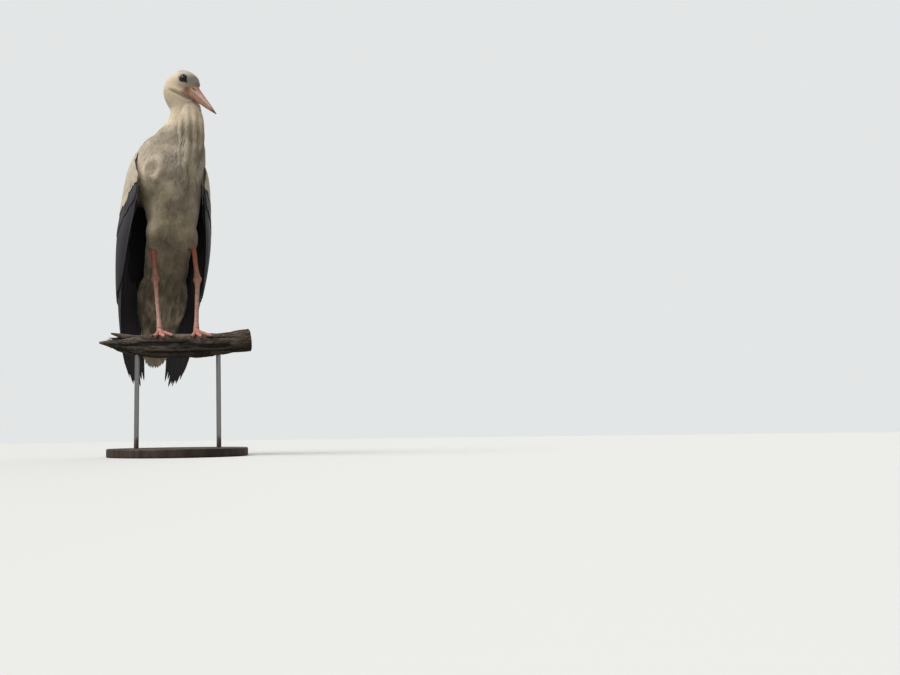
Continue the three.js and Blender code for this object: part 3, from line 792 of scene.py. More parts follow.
def coat_depth(points):
    """How deep the skin lies under the tips of the coat."""
    depth = grain(points) * 0.58
    z = points[:, 2]
    depth = np.where(z < 150, np.minimum(depth, lerp(2.2, 4.0, smooth(z, -20, 150))), depth)
    for side in SIDES.values():
        gap, share = to_axis(points, thigh_table(side))
        depth = lerp(lerp(3.6, 1.8, share), depth, smooth(gap, 38, 52))
    return depth * (1 - bare_gape(points)) * (1 - 0.7 * bare_face(points))


def flow_guides():
    """Places and directions that comb the coat from the bill to the tail."""
    places, ways = [], []

    def follow(table, count):
        at = along(table, np.linspace(0, 1, count))[:, :3]
        places.extend(at)
        ways.extend(unit(np.gradient(at, axis=0)))

    for table, count in ((TRUNK, 9), (NECK[4::-1], 9), (PLUMES, 6), (TAIL_COVERTS, 6)):
        follow(table, count)
    for side in SIDES.values():
        follow(thigh_table(side), 5)

    def comb(rows, pull):
        for x, y, z, ahead, aside, up in rows:
            for side in (LEFT, RIGHT) if y else (LEFT,):
                places.append(head_point(x, side * y, z))
                ways.append(HEAD_AXES @ np.array((ahead, side * aside, up)) * pull)

    # Places and directions in the head's own frame: over the crown and nape, back over the cheeks, and down
    # over the throat.
    comb(((44, 0, 20, -1, 0, 0.3), (28, 0, 32, -1, 0, 0.15), (8, 0, 36, -1, 0, 0)), 1.6)
    comb(((-14, 0, 36, -1, 0, -0.1), (-32, 0, 32, -0.9, 0, -0.5)), 1.6)
    comb(((-48, 0, 18, -0.3, 0, -1), (-54, 0, 0, 0.2, 0, -1)), 1.6)
    comb(((30, 18, 18, -1, 0.3, 0), (10, 32, 22, -1, 0, -0.1), (-16, 36, 20, -1, 0, -0.3)), 1.4)
    comb(((32, 20, 0, -1, 0.5, -0.1), (12, 34, 0, -1, 0.1, -0.25), (-12, 39, 0, -0.8, 0, -0.6)), 1.4)
    comb(((28, 26, -18, -1, 0.6, -0.5), (10, 36, -18, -0.8, 0.1, -0.7), (-12, 40, -18, -0.3, 0, -1)), 1.4)
    down = (0.737, 0, -0.676)
    comb(((48, 14, -34, *down), (38, 30, -40, *down), (20, 40, -46, 0.5, 0, -0.85), (62, 0, -34, *down)), 1.8)
    comb(((66, 24, -56, *down), (46, 42, -62, *down), (86, 0, -56, *down)), 1.8)
    return np.array(places), np.array(ways)


def flow(points):
    if "guides" not in SURFACE:
        SURFACE["guides"] = flow_guides()
    places, ways = SURFACE["guides"]
    gap = ((points[:, None] - places[None]) ** 2).sum(2)
    return unit(1 / (gap + 80) ** 2 @ ways)


def bare_face(points):
    """Mask of the bare black skin: round the eye and in a point towards the bill."""
    head = in_head(points)
    x, y, z = head[:, 0] - EYE_FORWARD, np.abs(head[:, 1]), head[:, 2] - EYE_UP
    ring = 1 - smooth(np.hypot(x, z), 11.0, 13.2)
    spear = 1 - smooth(np.abs(z + 0.12 * x), 4.4 - 0.13 * x, 7.4 - 0.17 * x)
    spear = spear * smooth(x, 0, 6) * (1 - smooth(x, 14, 20))
    return np.clip(ring + spear, 0, 1) * smooth(y, 8, 13) * smooth(EYE_OUT + 22 - y, 0, 4)


def gape_edge(z):
    """How far forward the feathers of the face reach, at each height over the bill's middle."""
    return 24 + 0.62 * np.maximum(z + 7, 0) + 0.25 * np.maximum(-7 - z, 0)


def bare_gape(points):
    """Mask of the bare skin at the corners of the mouth, in front of the feathers."""
    x, y, z = in_head(points).T
    inside = smooth(x - gape_edge(z), -0.8, 1.2) * smooth(z, -27, -24) * (1 - smooth(z, 20, 23))
    return inside * (1 - smooth(np.abs(y), 30, 36)) * (1 - smooth(x, 60, 64))


def coat_marks(points):
    """Black, tone and buff masks of the body's plumage, with painted light and shade in the tone and a
    painted shadow in the black.
    """
    tone = 0.64 + 0.16 * noise(points, 46, 3) + 0.08 * noise(points, 17, 5)
    z = points[:, 2]
    buff = 0.42 + 0.42 * smooth(z, 420, 640) + 0.2 * noise(points, 60, 8) + 0.5 * (1 - smooth(z, 400, 540))
    head = in_head(points)
    crown = smooth(head[:, 2], 0, 26) * (1 - smooth(np.linalg.norm(head, axis=1), 56, 78))
    buff = buff * (1 - 0.85 * crown)
    line, front = brim_line(points)
    # Painted shade: the tone is darker and the buff stronger towards the bottom of the body.
    below = 1 - smooth(z, 130, 390)
    above, near = jaw_line(points)
    # Painted shadow: a black line along the fold under the cheek, carried in the black mask.
    painted_crease_shadow = (0.35 + 0.35 * smooth(head[:, 0], 20, 50)) * near * bump(above, 0, 1.7)
    black = np.maximum(painted_crease_shadow, bare_face(points))
    cheek = bump(head[:, 0], 14, 28) * bump(head[:, 2], -30, 24)
    neck = smooth(z, 585, 650) * (1 - crown)
    ahead = 1 - smooth(points[:, 1], -15, 45)
    breast = (1 - smooth(z, 585, 650)) * smooth(z, 460, 530) * ahead
    thigh = bump(np.abs(points[:, 0] - BODY[0]), 50, 24) * smooth(z, 250, 290) * (1 - smooth(z, 300, 400))
    locks = 0.26 * noise(points * (1, 1, 0.14), 9, 13) * (1 - smooth(z, 60, 250))
    # Painted shadow under the lobes of the plumes, and painted shade over the body below them, strongest on
    # the front.
    shade = 0.2 * (1 - smooth(z, line - 60, line + 6)) + 0.08 * front * bump(z - line, -16, 20)
    # Painted light makes the cheeks, neck and thighs lighter. Painted shade makes the breast darker, and so
    # what lies under the body. The crown is a darker grey.
    light = 0.26 * cheek + 0.12 * neck + 0.12 * thigh - 0.24 * crown - 0.17 * breast
    tone = tone + light - 0.28 * below + locks - shade * lerp(0.3, 1.0, ahead)
    return np.clip(np.stack([black, tone, buff + 0.3 * below], -1), 0, 1)


def body_map(points):
    """Places on an unwrap of the skin, round the body's middle line and down it. The head is apart."""
    z = points[:, 2]
    axis = np.vstack([TAIL_COVERTS[::-1, :3], TRUNK[::-1, :3][2:], NECK[2:, :3]])
    order = np.argsort(axis[:, 2])
    x0, y0 = (np.interp(z, axis[order, 2], axis[order, k]) for k in (0, 1))
    around = np.arctan2(points[:, 0] - x0, -(points[:, 1] - y0)) / (2 * np.pi) + 0.5
    head = in_head(points)
    on_head = np.linalg.norm(head, axis=1) < 62
    turn = np.arctan2(head[:, 1], head[:, 2]) / (2 * np.pi) + 0.5
    u = np.where(on_head, turn, around)
    v = np.where(on_head, 0.8 + (60 - head[:, 0]) / 120 * 0.18, 0.02 + (z + 60) / 840 * 0.76)
    return np.clip(np.stack([u, v], -1), 0.005, 0.995)


# ---------------------------------------------------------------------------------------------------------
# The closed wing
# ---------------------------------------------------------------------------------------------------------


def wing_place(side, t, angle, inset):
    """Points on a closed wing. The angle is 0 at the spine, 90 at the flank and more towards the breast."""
    at = along(WING, t)
    a = np.radians(angle)
    swing = LEFT_TIP_OUT * smooth(t, 0.6, 0.9) if side == LEFT else 0
    x = BODY[0] + side * (at[..., 2] - inset) * np.sin(a) + swing
    return np.stack([x, at[..., 0] + (at[..., 3] - inset) * np.cos(a), at[..., 1]], -1)


def wing_edges(t):
    """Angles of the wing's inner and front edges at t along it."""
    near = lerp(38, 0, smooth(t, 0, 0.2)) + lerp(0.7, 14, smooth(t, 0.62, 1))
    far = lerp(96, 124, smooth(t, 0, 0.2)) - 22 * smooth(t, 0.2, 0.7) - 18 * smooth(t, 0.6, 1)
    return near, far


def core_outer(t):
    """How deep under the outer face the core of a closed wing begins."""
    return np.minimum(6.0, along(WING, t)[..., 4] * 0.36)


def wing_inner(t, v):
    """How deep under the outer face the inner face of a closed wing's core lies."""
    outer = core_outer(t)
    middle = 1 - np.abs(2 * np.clip(v, *CORE_ROUND) - 1) ** 4
    taper = 1 - 0.7 * smooth(t, 0.42, 0.6)
    return outer + (along(WING, t)[..., 4] * 0.74 - outer) * middle * taper + 0.5


# Where the white coverts, the secondaries and the primaries end, as a share of the wing's length. v is the
# share of the way from the spine to the front edge.


def coverts_end(v, side):
    """The left wing is turned further in, and its white coverts end higher at the front."""
    front = 0.66 if side == LEFT else 0.74
    return 0.38 - 0.1 * smooth(v, 0.3, 0.62) - 0.11 * smooth(v, front, 1.03)


def secondaries_end(v):
    return 0.74 - 0.16 * smooth(v, 0.1, 1)


def primaries_end(v):
    return 0.995 - 0.075 * smooth(v, 0.35, 1) - 0.05 * (1 - smooth(v, 0, 0.35))


def wing_vanes(side, start, end, width, inset, tilt, kind, steps, cols, camber, ragged, rng, inner):
    """Vanes on a closed wing, from `start` to `end`, each feathers by (t, v). Inner ones line the wing."""
    s = np.asarray(steps)
    t = lerp(start[:, :1], end[:, :1], s)
    v = lerp(start[:, 1:], end[:, 1:], s)
    angle = lerp(*wing_edges(t), v)
    at = along(WING, t)
    a = np.radians(angle)
    radius = np.hypot(at[..., 2] * np.cos(a), at[..., 3] * np.sin(a))
    half = width[:, None] * outline_at(kind, s) / 2
    x = np.linspace(-1, 1, cols)
    span = lerp(inset[:, :1], inset[:, 1:], s)
    swing = np.degrees(half / radius)[..., None] * x
    order = 1 if (side == LEFT) != inner else -1
    up = camber * half[..., None] * (1 - x**2) + tilt * order * x
    if inner:
        span = span + wing_inner(t, v)
    depth = span[..., None] + (up if inner else -up)
    bite = bites(len(start), cols, ragged, 0.03, rng)
    reach = (end[:, 0] - start[:, 0])[:, None, None] * bite[:, None] * s[None, :, None] ** 6
    return wing_place(side, t[..., None] - reach, angle[..., None] + order * swing, depth)


# ---------------------------------------------------------------------------------------------------------
# Finishes
# ---------------------------------------------------------------------------------------------------------

LOOKS = {}
# Strength and depth in metres of each finish's relief.
BLACK_RELIEF, WHITE_RELIEF = (0.35, 0.0004), (0.14, 0.0004)
DOWN_RELIEF, LEG_RELIEF, HORN_RELIEF = (0.5, 0.0008), (0.6, 0.0007), (0.25, 0.0003)
BARK_RELIEF, BASE_RELIEF = (0.8, 0.0016), (0.25, 0.0004)
PUPIL = (0.004, 0.004, 0.005)
STEEL_DARK, STEEL_LIGHT = (0.42, 0.42, 0.43), (0.62, 0.62, 0.62)


def barbs_group():
    """Fine barbs to both sides of a shaft, from a vane's own coordinates, and a painted shade that darkens
    the vane towards its root.
    """

    def paint(tree, given):
        across, down, _ = tree.add("SeparateXYZ", None, Vector=given["Vane"]).outputs
        aside = tree.maths("ABSOLUTE", tree.maths("MULTIPLY_ADD", across, 2.0, -1.0))
        lumps = tree.noise(given["Place"], 260.0, 2.0)
        line = tree.maths("MULTIPLY", down, given["Count"])
        line = tree.maths("SUBTRACT", line, tree.maths("MULTIPLY", aside, given["Slant"]))
        line = tree.maths("ADD", line, tree.maths("MULTIPLY", lumps, 1.2))
        wave = tree.maths("SINE", tree.maths("MULTIPLY", line, 6.2832))
        streak = tree.maths("MULTIPLY_ADD", wave, 0.5, 0.5)
        shaft = tree.maths("LESS_THAN", aside, given["Shaft Width"])
        return streak, shaft, tree.ramp(down, 0.0, 0.62, 1.0, 0.0)

    inputs = {"Vane": None, "Place": None, "Count": 22.0, "Slant": 5.0, "Shaft Width": 0.06}
    return group("Barbs", inputs, ("Streak", "Shaft", "Root Shade"), paint)


def mottle_group():
    """Large soft patches and fine grains over any surface."""

    def paint(tree, given):
        patches = tree.noise(given["Place"], given["Patch Scale"], 3.0)
        return patches, tree.noise(given["Place"], given["Grain Scale"], 2.0)

    inputs = {"Place": None, "Patch Scale": 30.0, "Grain Scale": 600.0}
    return group("Mottle", inputs, ("Patches", "Grains"), paint)


def feather_look(name, colours, black, barbs, roughness, sheen):
    """Feathers that mix white, buff and black by their marks."""
    shaft_share, shaft_height = (0.6, 1.2) if black else (0.1, 0.4)
    streak_dark, streak_light = (0.9, 1.03) if black else (0.965, 1.01)

    def paint(tree):
        mark, tone, buff = tree.marks()
        vane = tree.add("UVMap", 0, {"uv_map": "vane"})
        lines = dict(Count=barbs, Slant=barbs * 0.22, Shaft_Width=0.07)
        parts = tree.group(barbs_group(), Vane=vane, Place=tree.place(), **lines)
        # The black mask also holds the painted shadow along the fold under the cheek.
        colour = tree.mix(mark, tree.mix(buff, colours.white, colours.buff), colours.black)
        shaft = tree.maths("MULTIPLY", parts["Shaft"], shaft_share)
        colour = tree.mix(shaft, colour, colours.shaft_black if black else colours.shaft_white)
        # For the body's coat the tone carries painted light and shade as well as its own variation.
        colour = tree.shade(colour, tree.ramp(tone, 0.0, 1.0, 0.14, 1.12))
        if black:
            # Painted highlight: the black vanes turn paler towards their rims.
            across = tree.add("SeparateXYZ", None, Vector=vane).outputs[0]
            aside = tree.maths("ABSOLUTE", tree.maths("SUBTRACT", across, 0.5))
            colour = tree.mix(tree.ramp(aside, 0.36, 0.5, 0.0, 0.5), colour, colours.black_rim_highlight)
        colour = tree.shade(colour, tree.ramp(parts["Streak"], 0.0, 1.0, streak_dark, streak_light))
        # Painted shade: each vane darkens towards its covered root.
        colour = tree.shade(colour, tree.ramp(parts["Root Shade"], 0.0, 1.0, 1.0, 0.94))
        height = tree.maths("ADD", parts["Streak"], tree.maths("MULTIPLY", parts["Shaft"], shaft_height))
        return {"Base Color": colour, "Height": (*(BLACK_RELIEF if black else WHITE_RELIEF), height)}

    return material(name, paint, Roughness=roughness, Sheen_Weight=sheen, Sheen_Roughness=0.5)


def looks():
    """All finishes, made once from the colours in the panel."""
    if LOOKS:
        return LOOKS
    colours = bpy.context.scene.stork_colours
    LOOKS["white"] = feather_look("White plumage", colours, False, 56.0, 0.9, 0.3)
    LOOKS["black"] = feather_look("Black flight feathers", colours, True, 90.0, 0.46, 0.05)

    def mottled(tree, patch, *grain_scale):
        scales = dict(zip(("Patch_Scale", "Grain_Scale"), (patch, *grain_scale)))
        return tree.group(mottle_group(), Place=tree.place(), **scales)

    def halved(tree, mottle, colour):
        return tree.mix(tree.ramp(mottle["Patches"], 0.3, 0.7), colour, [0.5 * c for c in colour])

    def down(tree):
        black, bare, buff = tree.marks()
        mottle = mottled(tree, 60.0, 700.0)
        pale = tree.mix(buff, colours.white, colours.buff)
        pale = tree.shade(pale, tree.ramp(mottle["Grains"], 0.2, 0.8, 0.8, 0.96))
        # The black mask also holds the painted shadow along the fold under the cheek.
        colour = tree.mix(black, tree.mix(bare, pale, colours.bill), colours.face)
        return {"Base Color": colour, "Height": (*DOWN_RELIEF, mottle["Grains"])}

    LOOKS["skin"] = material("Downy skin", down, Roughness=0.72)

    def legs(tree):
        wash, _, red = tree.marks()
        mottle = mottled(tree, 70.0, 900.0)
        squashed = tree.add("Mapping", 0, Vector=tree.place(), Scale=(1.0, 1.0, 0.62))
        edges = {"feature": "DISTANCE_TO_EDGE"}
        scale = tree.ramp(tree.add("TexVoronoi", "Distance", edges, Vector=squashed, Scale=330.0), 0.0, 0.16)
        colour = tree.mix(red, colours.leg_pink, colours.leg_red)
        colour = tree.mix(tree.maths("MULTIPLY", wash, 0.7), colour, colours.leg_wash)
        patches = tree.ramp(mottle["Patches"], 0.3, 0.7, 0.82, 1.1)
        colour = tree.shade(colour, tree.maths("MULTIPLY", tree.ramp(scale, 0.0, 1.0, 0.66, 1.0), patches))
        height = tree.maths("ADD", scale, tree.maths("MULTIPLY", mottle["Grains"], 0.3))
        return {"Base Color": colour, "Height": (*LEG_RELIEF, height)}

    LOOKS["legs"] = material("Scaly leg skin", legs, Roughness=0.55)

    def horn(tree):
        dark, _, pale = tree.marks()
        mottle = mottled(tree, 55.0, 1100.0)
        colour = tree.mix(pale, colours.bill, colours.bill_pale)
        colour = tree.shade(colour, tree.ramp(mottle["Patches"], 0.3, 0.72, 0.84, 1.12))
        colour = tree.mix(dark, colour, colours.bill_dark)
        return {"Base Color": colour, "Height": (*HORN_RELIEF, mottle["Grains"])}

    LOOKS["bill"] = material("Bill horn", horn, Roughness=0.44)

    def claws(tree):
        return {"Base Color": halved(tree, mottled(tree, 200.0), colours.claw)}

    LOOKS["claw"] = material("Claw horn", claws, Roughness=0.4)

    def eye(tree):
        pupil = tree.marks()[0]
        return {"Base Color": tree.mix(pupil, halved(tree, mottled(tree, 500.0), colours.iris), PUPIL)}

    wet = dict(Roughness=0.1, Specular_IOR_Level=0.3, Coat_Weight=0.35, Coat_Roughness=0.02)
    LOOKS["eye"] = material("Wet eye", eye, **wet)

    def bark(tree):
        sawn, tone, _ = tree.marks()
        turned = tree.add("Mapping", 0, Vector=tree.place(), Rotation=(0, 0, BRANCH_TURN), Scale=(0.12, 1, 1))
        fibres = tree.noise(turned, 420.0, 5.0, Roughness=0.65)
        bands = tree.noise(turned, 70.0, 3.0)
        mottle = mottled(tree, 16.0, 500.0)
        colour = tree.mix(tree.ramp(fibres, 0.35, 0.68), colours.wood_dark, colours.wood)
        bleached = tree.maths("MULTIPLY", tree.ramp(bands, 0.45, 0.75), 0.6)
        colour = tree.mix(bleached, colour, colours.wood_grey)
        colour = tree.mix(tree.ramp(mottle["Patches"], 0.5, 0.75, 0.0, 0.5), colour, colours.wood_dark)
        colour = tree.mix(sawn, colour, colours.wood_cut)
        # The tone holds the painted shade in the cracks and dents, and the splinters' own tones.
        colour = tree.shade(colour, tree.ramp(tone, 0.0, 1.0, 0.3, 1.1))
        return {"Base Color": colour, "Height": (*BARK_RELIEF, fibres)}

    LOOKS["bark"] = material("Weathered branch", bark, Roughness=0.9)

    def stained(tree):
        turned = tree.add("Mapping", 0, Vector=tree.place(), Scale=(1, 9, 1))
        lines = tree.noise(turned, 9.0, 6.0, Roughness=0.6)
        pores = tree.noise(turned, 90.0, 3.0)
        colour = tree.mix(tree.ramp(lines, 0.32, 0.7), colours.base_dark, colours.base)
        colour = tree.mix(tree.ramp(pores, 0.58, 0.72, 0.0, 0.55), colour, colours.base_dark)
        return {"Base Color": colour, "Height": (*BASE_RELIEF, pores)}

    LOOKS["base"] = material("Stained wood", stained, Roughness=0.55, Coat_Weight=0.08, Coat_Roughness=0.3)

    def brushed(tree):
        turned = tree.add("Mapping", 0, Vector=tree.place(), Scale=(1, 1, 22))
        lines = tree.noise(turned, 60.0, 4.0)
        colour = tree.mix(lines, STEEL_DARK, STEEL_LIGHT)
        return {"Base Color": colour, "Roughness": tree.ramp(lines, 0.2, 0.8, 0.26, 0.42)}

    LOOKS["steel"] = material("Satin steel", brushed, Metallic=1.0)
    return LOOKS


# ---------------------------------------------------------------------------------------------------------
# Pieces
# ---------------------------------------------------------------------------------------------------------


def toe_path(side, length, splay, radius):
    """Middle line of a toe, which lies on the branch and droops a little where the branch falls away."""
    foot = leg_points(side)[0]
    angle = math.radians(side * splay)
    out = np.array((math.sin(angle), -math.cos(angle), 0.0))
    across = out @ np.array((math.sin(BRANCH_TURN), math.cos(BRANCH_TURN), 0))

    def top(d):
        depth = min(max(d * across / BRANCH_HALF_DEPTH, -0.94), 0.94)
        return BRANCH_HALF_HEIGHT * (math.sqrt(1 - depth * depth) - 1)

    lift = (ANKLE_HEIGHT * 0.8, radius * 1.15, radius, radius, radius, radius)
    points = []
    for share, up in zip((0, 0.22, 0.42, 0.62, 0.82, 1), lift):
        d = share * length
        height = max(top(min(d, 30)) - max(d - 30, 0) * 0.34, top(d))
        points.append(np.array((foot[0], foot[1], height + up)) + out * d)
    return np.array(points)


def leg_solids(side):
    """Bare tibia, heel, tarsus and toes of one leg, as overlapping solids."""
    foot, heel, knee = leg_points(side)
    up, down = unit(knee - heel), unit(foot - heel)
    reach = np.linalg.norm(foot - heel)
    aside = unit(np.cross(up, down))
    tibia = [heel + up * d for d in (BARE_TIBIA + 26, 66, 40, 24, 12, 0)]
    tarsus = [heel + down * d for d in (0, 10, 22, 44, reach / 2, reach - 30, reach - 12, reach)]
    parts = [
        limb(tibia, [r * TIBIA_RADIUS for r in (1, 0.94, 0.92, 1.02, 1.28, 1.42)], 40, 24),
        limb(tarsus, [r * TARSUS_RADIUS for r in (1.55, 1.5, 1.12, 0.96, 0.9, 0.94, 1.12, 1.3)], 56, 24),
        ball(heel + aside * 3.6 + down * 1.5, HEEL_RADIUS * 0.78),
        ball(heel - aside * 3.6 + down * 1.5, HEEL_RADIUS * 0.78),
        ball(heel + up * 5, HEEL_RADIUS * 0.7),
        ball(foot + np.array((0, 0, -4)), PALM_RADIUS - 0.8),
    ]
    for length, splay, radius in TOES.values():
        steps = np.linspace(0, 1, 16)
        line = along(toe_path(side, length, splay, radius), steps)
        pads = 1 + 0.13 * np.cos(steps * 2 * np.pi * round(length / PAD_LENGTH))
        thick = np.interp(steps, (0, 0.25, 0.6, 0.9, 1), (1.2, 1.0, 0.94, 0.84, 0.72)) * radius * pads
        parts.append(limb(line, thick, 44, 16))
    inner, middle, outer = (toe_path(side, *TOES[toe]) for toe in ("inner", "middle", "outer"))
    for toe in (inner, outer):
        web = lerp(toe[:3], middle[:3], 0.5) - np.outer((0, 1.2, 2.0), (0, 0, 1))
        parts.append(limb(web, (5.5, 3.6, 1.2), 14, 12))
    return parts


def wing_core(side):
    """A thin shell inside a closed wing, under its feathers, as a closed solid with masks for its marks."""
    rows, cols = 48, 40
    v = np.linspace(*CORE_ROUND, cols)
    rings = []
    for here in np.linspace(*CORE_LENGTH, rows):
        t = np.full(cols, here)
        angle = lerp(*wing_edges(t), v)
        out, back = (wing_place(side, t, angle, inset) for inset in (core_outer(t), wing_inner(t, v)))
        rings.append(np.vstack([out, back[::-1]]))
    verts, faces = loft(np.array(rings))
    if side == RIGHT:
        faces = [f[::-1] for f in faces]
    t = np.repeat(np.linspace(*CORE_LENGTH, rows), cols * 2)
    is_inner = np.tile(np.repeat((0.0, 1.0), cols), rows)
    black = smooth(t, 0.2 - 0.02 * is_inner, 0.24 - 0.02 * is_inner)
    return verts, faces, np.stack([black, 0 * black, 0 * black + CORE_BUFF], -1)


def eyelid(side):
    """The swollen ring of bare skin round an eye."""
    count, sides = 40, 12
    rings = []
    for turn in circle(count):
        around = np.array((math.cos(turn), 0, math.sin(turn)))
        brow = 1 + 0.16 * max(math.sin(turn), 0)
        for k in circle(sides):
            wide, high = 9.5 + 2.1 * math.cos(k), 3.7 + 1.7 * math.sin(k) * brow
            rings.append(np.array((EYE_FORWARD, side * (EYE_OUT + high), EYE_UP)) + around * wide)
    faces = []
    for r, k in itertools.product(range(count), range(sides)):
        near, far = r * sides, (r + 1) % count * sides
        a, b, c, d = near + k, near + (k + 1) % sides, far + (k + 1) % sides, far + k
        faces.append((a, d, c, b) if side == LEFT else (a, b, c, d))
    return from_head(np.array(rings)), faces


def make_skin():
    surface = outer_surface()
    depth = coat_depth(surface.verts)
    depth = depth + 0.7 * noise(surface.verts, 9, 4) * smooth(depth, 3, 5)
    marks = coat_marks(surface.verts)
    marks[:, 1] = bare_gape(surface.verts)
    parts = [(surface.verts - surface.normals * depth[:, None], surface.faces)]
    masks = [marks]
    for side in SIDES.values():
        core, faces, core_marks = wing_core(side)
        lid, lid_faces = eyelid(side)
        parts += [(core, faces), (lid, lid_faces)]
        masks += [core_marks, np.tile((1.0, 0.0, 0.0), (len(lid), 1))]
    leg_parts = [part for side in SIDES.values() for part in leg_solids(side)]
    legs, leg_faces = fused(leg_parts, LEG_GRID, 4)
    z = legs[:, 2]
    wash = smooth(z, 180, 120) * (0.45 + 0.5 * noise(legs, 14, 21)) * smooth(z, 4, 40)
    red = smooth(z, 190, 260) + 0.25 * noise(legs, 20, 9) + 0.25 * (1 - smooth(z, -10, 20))
    masks.append(np.clip(np.stack([wash, 0 * z + 0.5, red], -1), 0, 1))
    verts, faces = joined([*parts, (legs, leg_faces)])
    flesh = ["trunk", "neck_lower", "neck_upper", "neck_plumes", "head", "tail_coverts"]
    flesh += [f"{part}_{side}" for part in ("thigh", "shank", "tarsus", "foot") for side in SIDES]
    flesh += [f"wing_{side}_coverts" for side in SIDES]
    skin = make_piece("skin", verts, faces, looks()["skin"], flesh, np.vstack(masks))
    skin.data.materials.append(looks()["legs"])
    is_leg = np.arange(len(faces)) >= len(faces) - len(leg_faces)
    skin.data.polygons.foreach_set("material_index", is_leg.astype(int))


FACE_REACH = 60.0  # how far out from the bill's middle the face is looked for
NOSTRIL, GROOVE = (22, 9, 9.2, 1.7), (34, 26, 8.6, 2.2)  # forward, half length, over the mouth, half height


def bill_root(points):
    """Points of the bill's horn in the head's frame, widened at the root until they lie on the face."""
    tree = outer_surface().tree
    wide = 1 - smooth(points[..., 0], 43, 64)
    across = points[..., 1:] - (0, BILL_MOUTH)
    reach = np.maximum(np.linalg.norm(across, axis=-1), 1e-6)
    way = across / reach[..., None]
    more = np.zeros_like(reach)
    for i in np.argwhere((wide > 0) & (reach > 1)):
        i = tuple(i)
        x, z = points[i][0], points[i][2]
        start = head_point(x, 0, BILL_MOUTH)
        gap = tree.ray_cast(Vector(start), Vector(HEAD_AXES @ (0, *way[i])), FACE_REACH)[3]
        # Where the face runs on into the neck, the horn keeps to its own size.
        gap = FACE_REACH if gap is None else gap
        low, high = (28, 34) if z > BILL_MOUTH else (22, 28)
        under = float(smooth(-way[i][1], 0.5, 0.9) * (1 - smooth(x, 35, 46)))
        gap = lerp(lerp(reach[i] - 3, 24.5, under), gap, float(1 - smooth(gap, low, high)))
        edge = gape_edge(z)
        face = gap + float(lerp(-3.0, 0.3, smooth(x - edge, -1.2, 0.8)))
        wider = 0.5 * (reach[i] + face + math.sqrt((reach[i] - face) ** 2 + 4.0))
        more[i] = (wider if x > edge - 1 else face) - reach[i]
    # The root's rim is evened out, so that it runs in a smooth curve over the face.
    for _ in range(10):
        padded = np.pad(more, 1, mode="edge")
        more = (padded[:-2, 1:-1] + padded[2:, 1:-1] + padded[1:-1, :-2] + padded[1:-1, 2:] + 2 * more) / 6
    size = reach + wide * more
    return np.concatenate([points[..., :1], size[..., None] * way + (0, BILL_MOUTH)], -1)


def slot_on_bill(x, above, slot):
    """0 in the middle of a long hollow in the bill's side, and 1 at its rim."""
    forward, long, up, high = slot
    return ((x - BILL_START - forward) / long) ** 2 + ((above - up) / high) ** 2


def make_bill():
    rows, cols = BILL_GRID
    x = np.linspace(0, 1, rows)[:, None] ** 1.15
    at = along(BILL_STATIONS, x[:, 0])
    angle = np.linspace(0, np.pi, cols)
    for name, upper in (("upper", True), ("lower", False)):
        seam = BILL_MOUTH + (0.2 if upper else -0.2)
        half = at[:, 3:4] * (1.0 if upper else 0.965)
        y = half * np.cos(angle)
        if upper:
            z = seam + (at[:, 2:3] + at[:, 4:5] - seam) * np.sin(angle) ** 1.12
        else:
            z = seam - (seam - (at[:, 2:3] - at[:, 5:6])) * np.sin(angle) ** 1.02
        y = y - np.sign(y) * 0.5 * (1 - np.abs(np.sin(angle)) ** 0.35) * (half > 3)
        px = BILL_START + x * BILL_LENGTH - (0.0 if upper else 2.2) * x + 0 * y
        if upper:
            inward = 2.3 * (1 - smooth(slot_on_bill(px, z - seam, NOSTRIL), 0.5, 1.1))
            inward = inward + 0.6 * (1 - smooth(slot_on_bill(px, z - seam, GROOVE), 0.2, 1.1))
            y = y - np.sign(y) * inward
        points = np.stack([px, y, z], -1)
        points = points + 0.22 * noise(points * (0.3, 1, 1), 4.5, 2)[..., None] * (0, 1, 0)
        points = bill_root(points)
        if not upper:
            points = points[:, ::-1]
        verts, faces = loft(from_head(points))
        flat = points.reshape(-1, 3)
        over = flat[:, 2] - seam
        share = (flat[:, 0] - BILL_START) / BILL_LENGTH
        ridge = smooth(over, 10, 18) if upper else smooth(-over, 10, 16)
        cut = 1 - smooth(np.abs(over), 0.3, 1.4)
        dark = 0.9 * smooth(share + 0.05 * noise(flat, 12, 6), 0.8, 1.0) + 0.45 * cut
        if upper:
            # Painted shade: the hollow of the nostril is painted dark.
            nostril = 1 - smooth(slot_on_bill(flat[:, 0], over, NOSTRIL), 0.6, 1.1)
            dark = dark + 0.95 * nostril + 0.35 * ridge * (0.4 + share)
        pale = 0.45 + 0.4 * noise(flat, 26, 7) - 0.2 * ridge
        marks = np.clip(np.stack([dark, 0 * dark + 0.5, pale], -1), 0, 1)
        make_piece(f"bill_{name}_horn", verts, faces, looks()["bill"], [f"bill_{name}"], marks)


def make_eyes():
    rows, cols = 40, 48
    polar = np.linspace(0.01, np.pi - 0.01, rows)
    out, turn = np.cos(polar), circle(cols)
    # The clear front bulges a little more than the ball.
    radius = (EYE_RADIUS - 0.35) * (1 + 0.05 * smooth(out, 0.72, 0.98))
    ring = (radius * np.sin(polar))[:, None]
    pupil_and_rim = (1 - smooth(polar, 0.36, 0.42)) + smooth(polar, 0.78, 0.86)
    black = np.repeat(np.clip(pupil_and_rim, 0, 1), cols)
    marks = np.stack([black, black * 0 + 0.5, black * 0], -1)
    for name, side in SIDES.items():
        aside = side * (EYE_OUT + radius * out)[:, None] + 0 * turn
        points = [EYE_FORWARD + ring * np.cos(turn), aside, EYE_UP + ring * np.sin(turn) * side]
        verts, faces = loft(from_head(np.stack(points, -1)))
        make_piece(f"eye_{name}_ball", verts, faces, looks()["eye"], [f"eye_{name}"], marks)


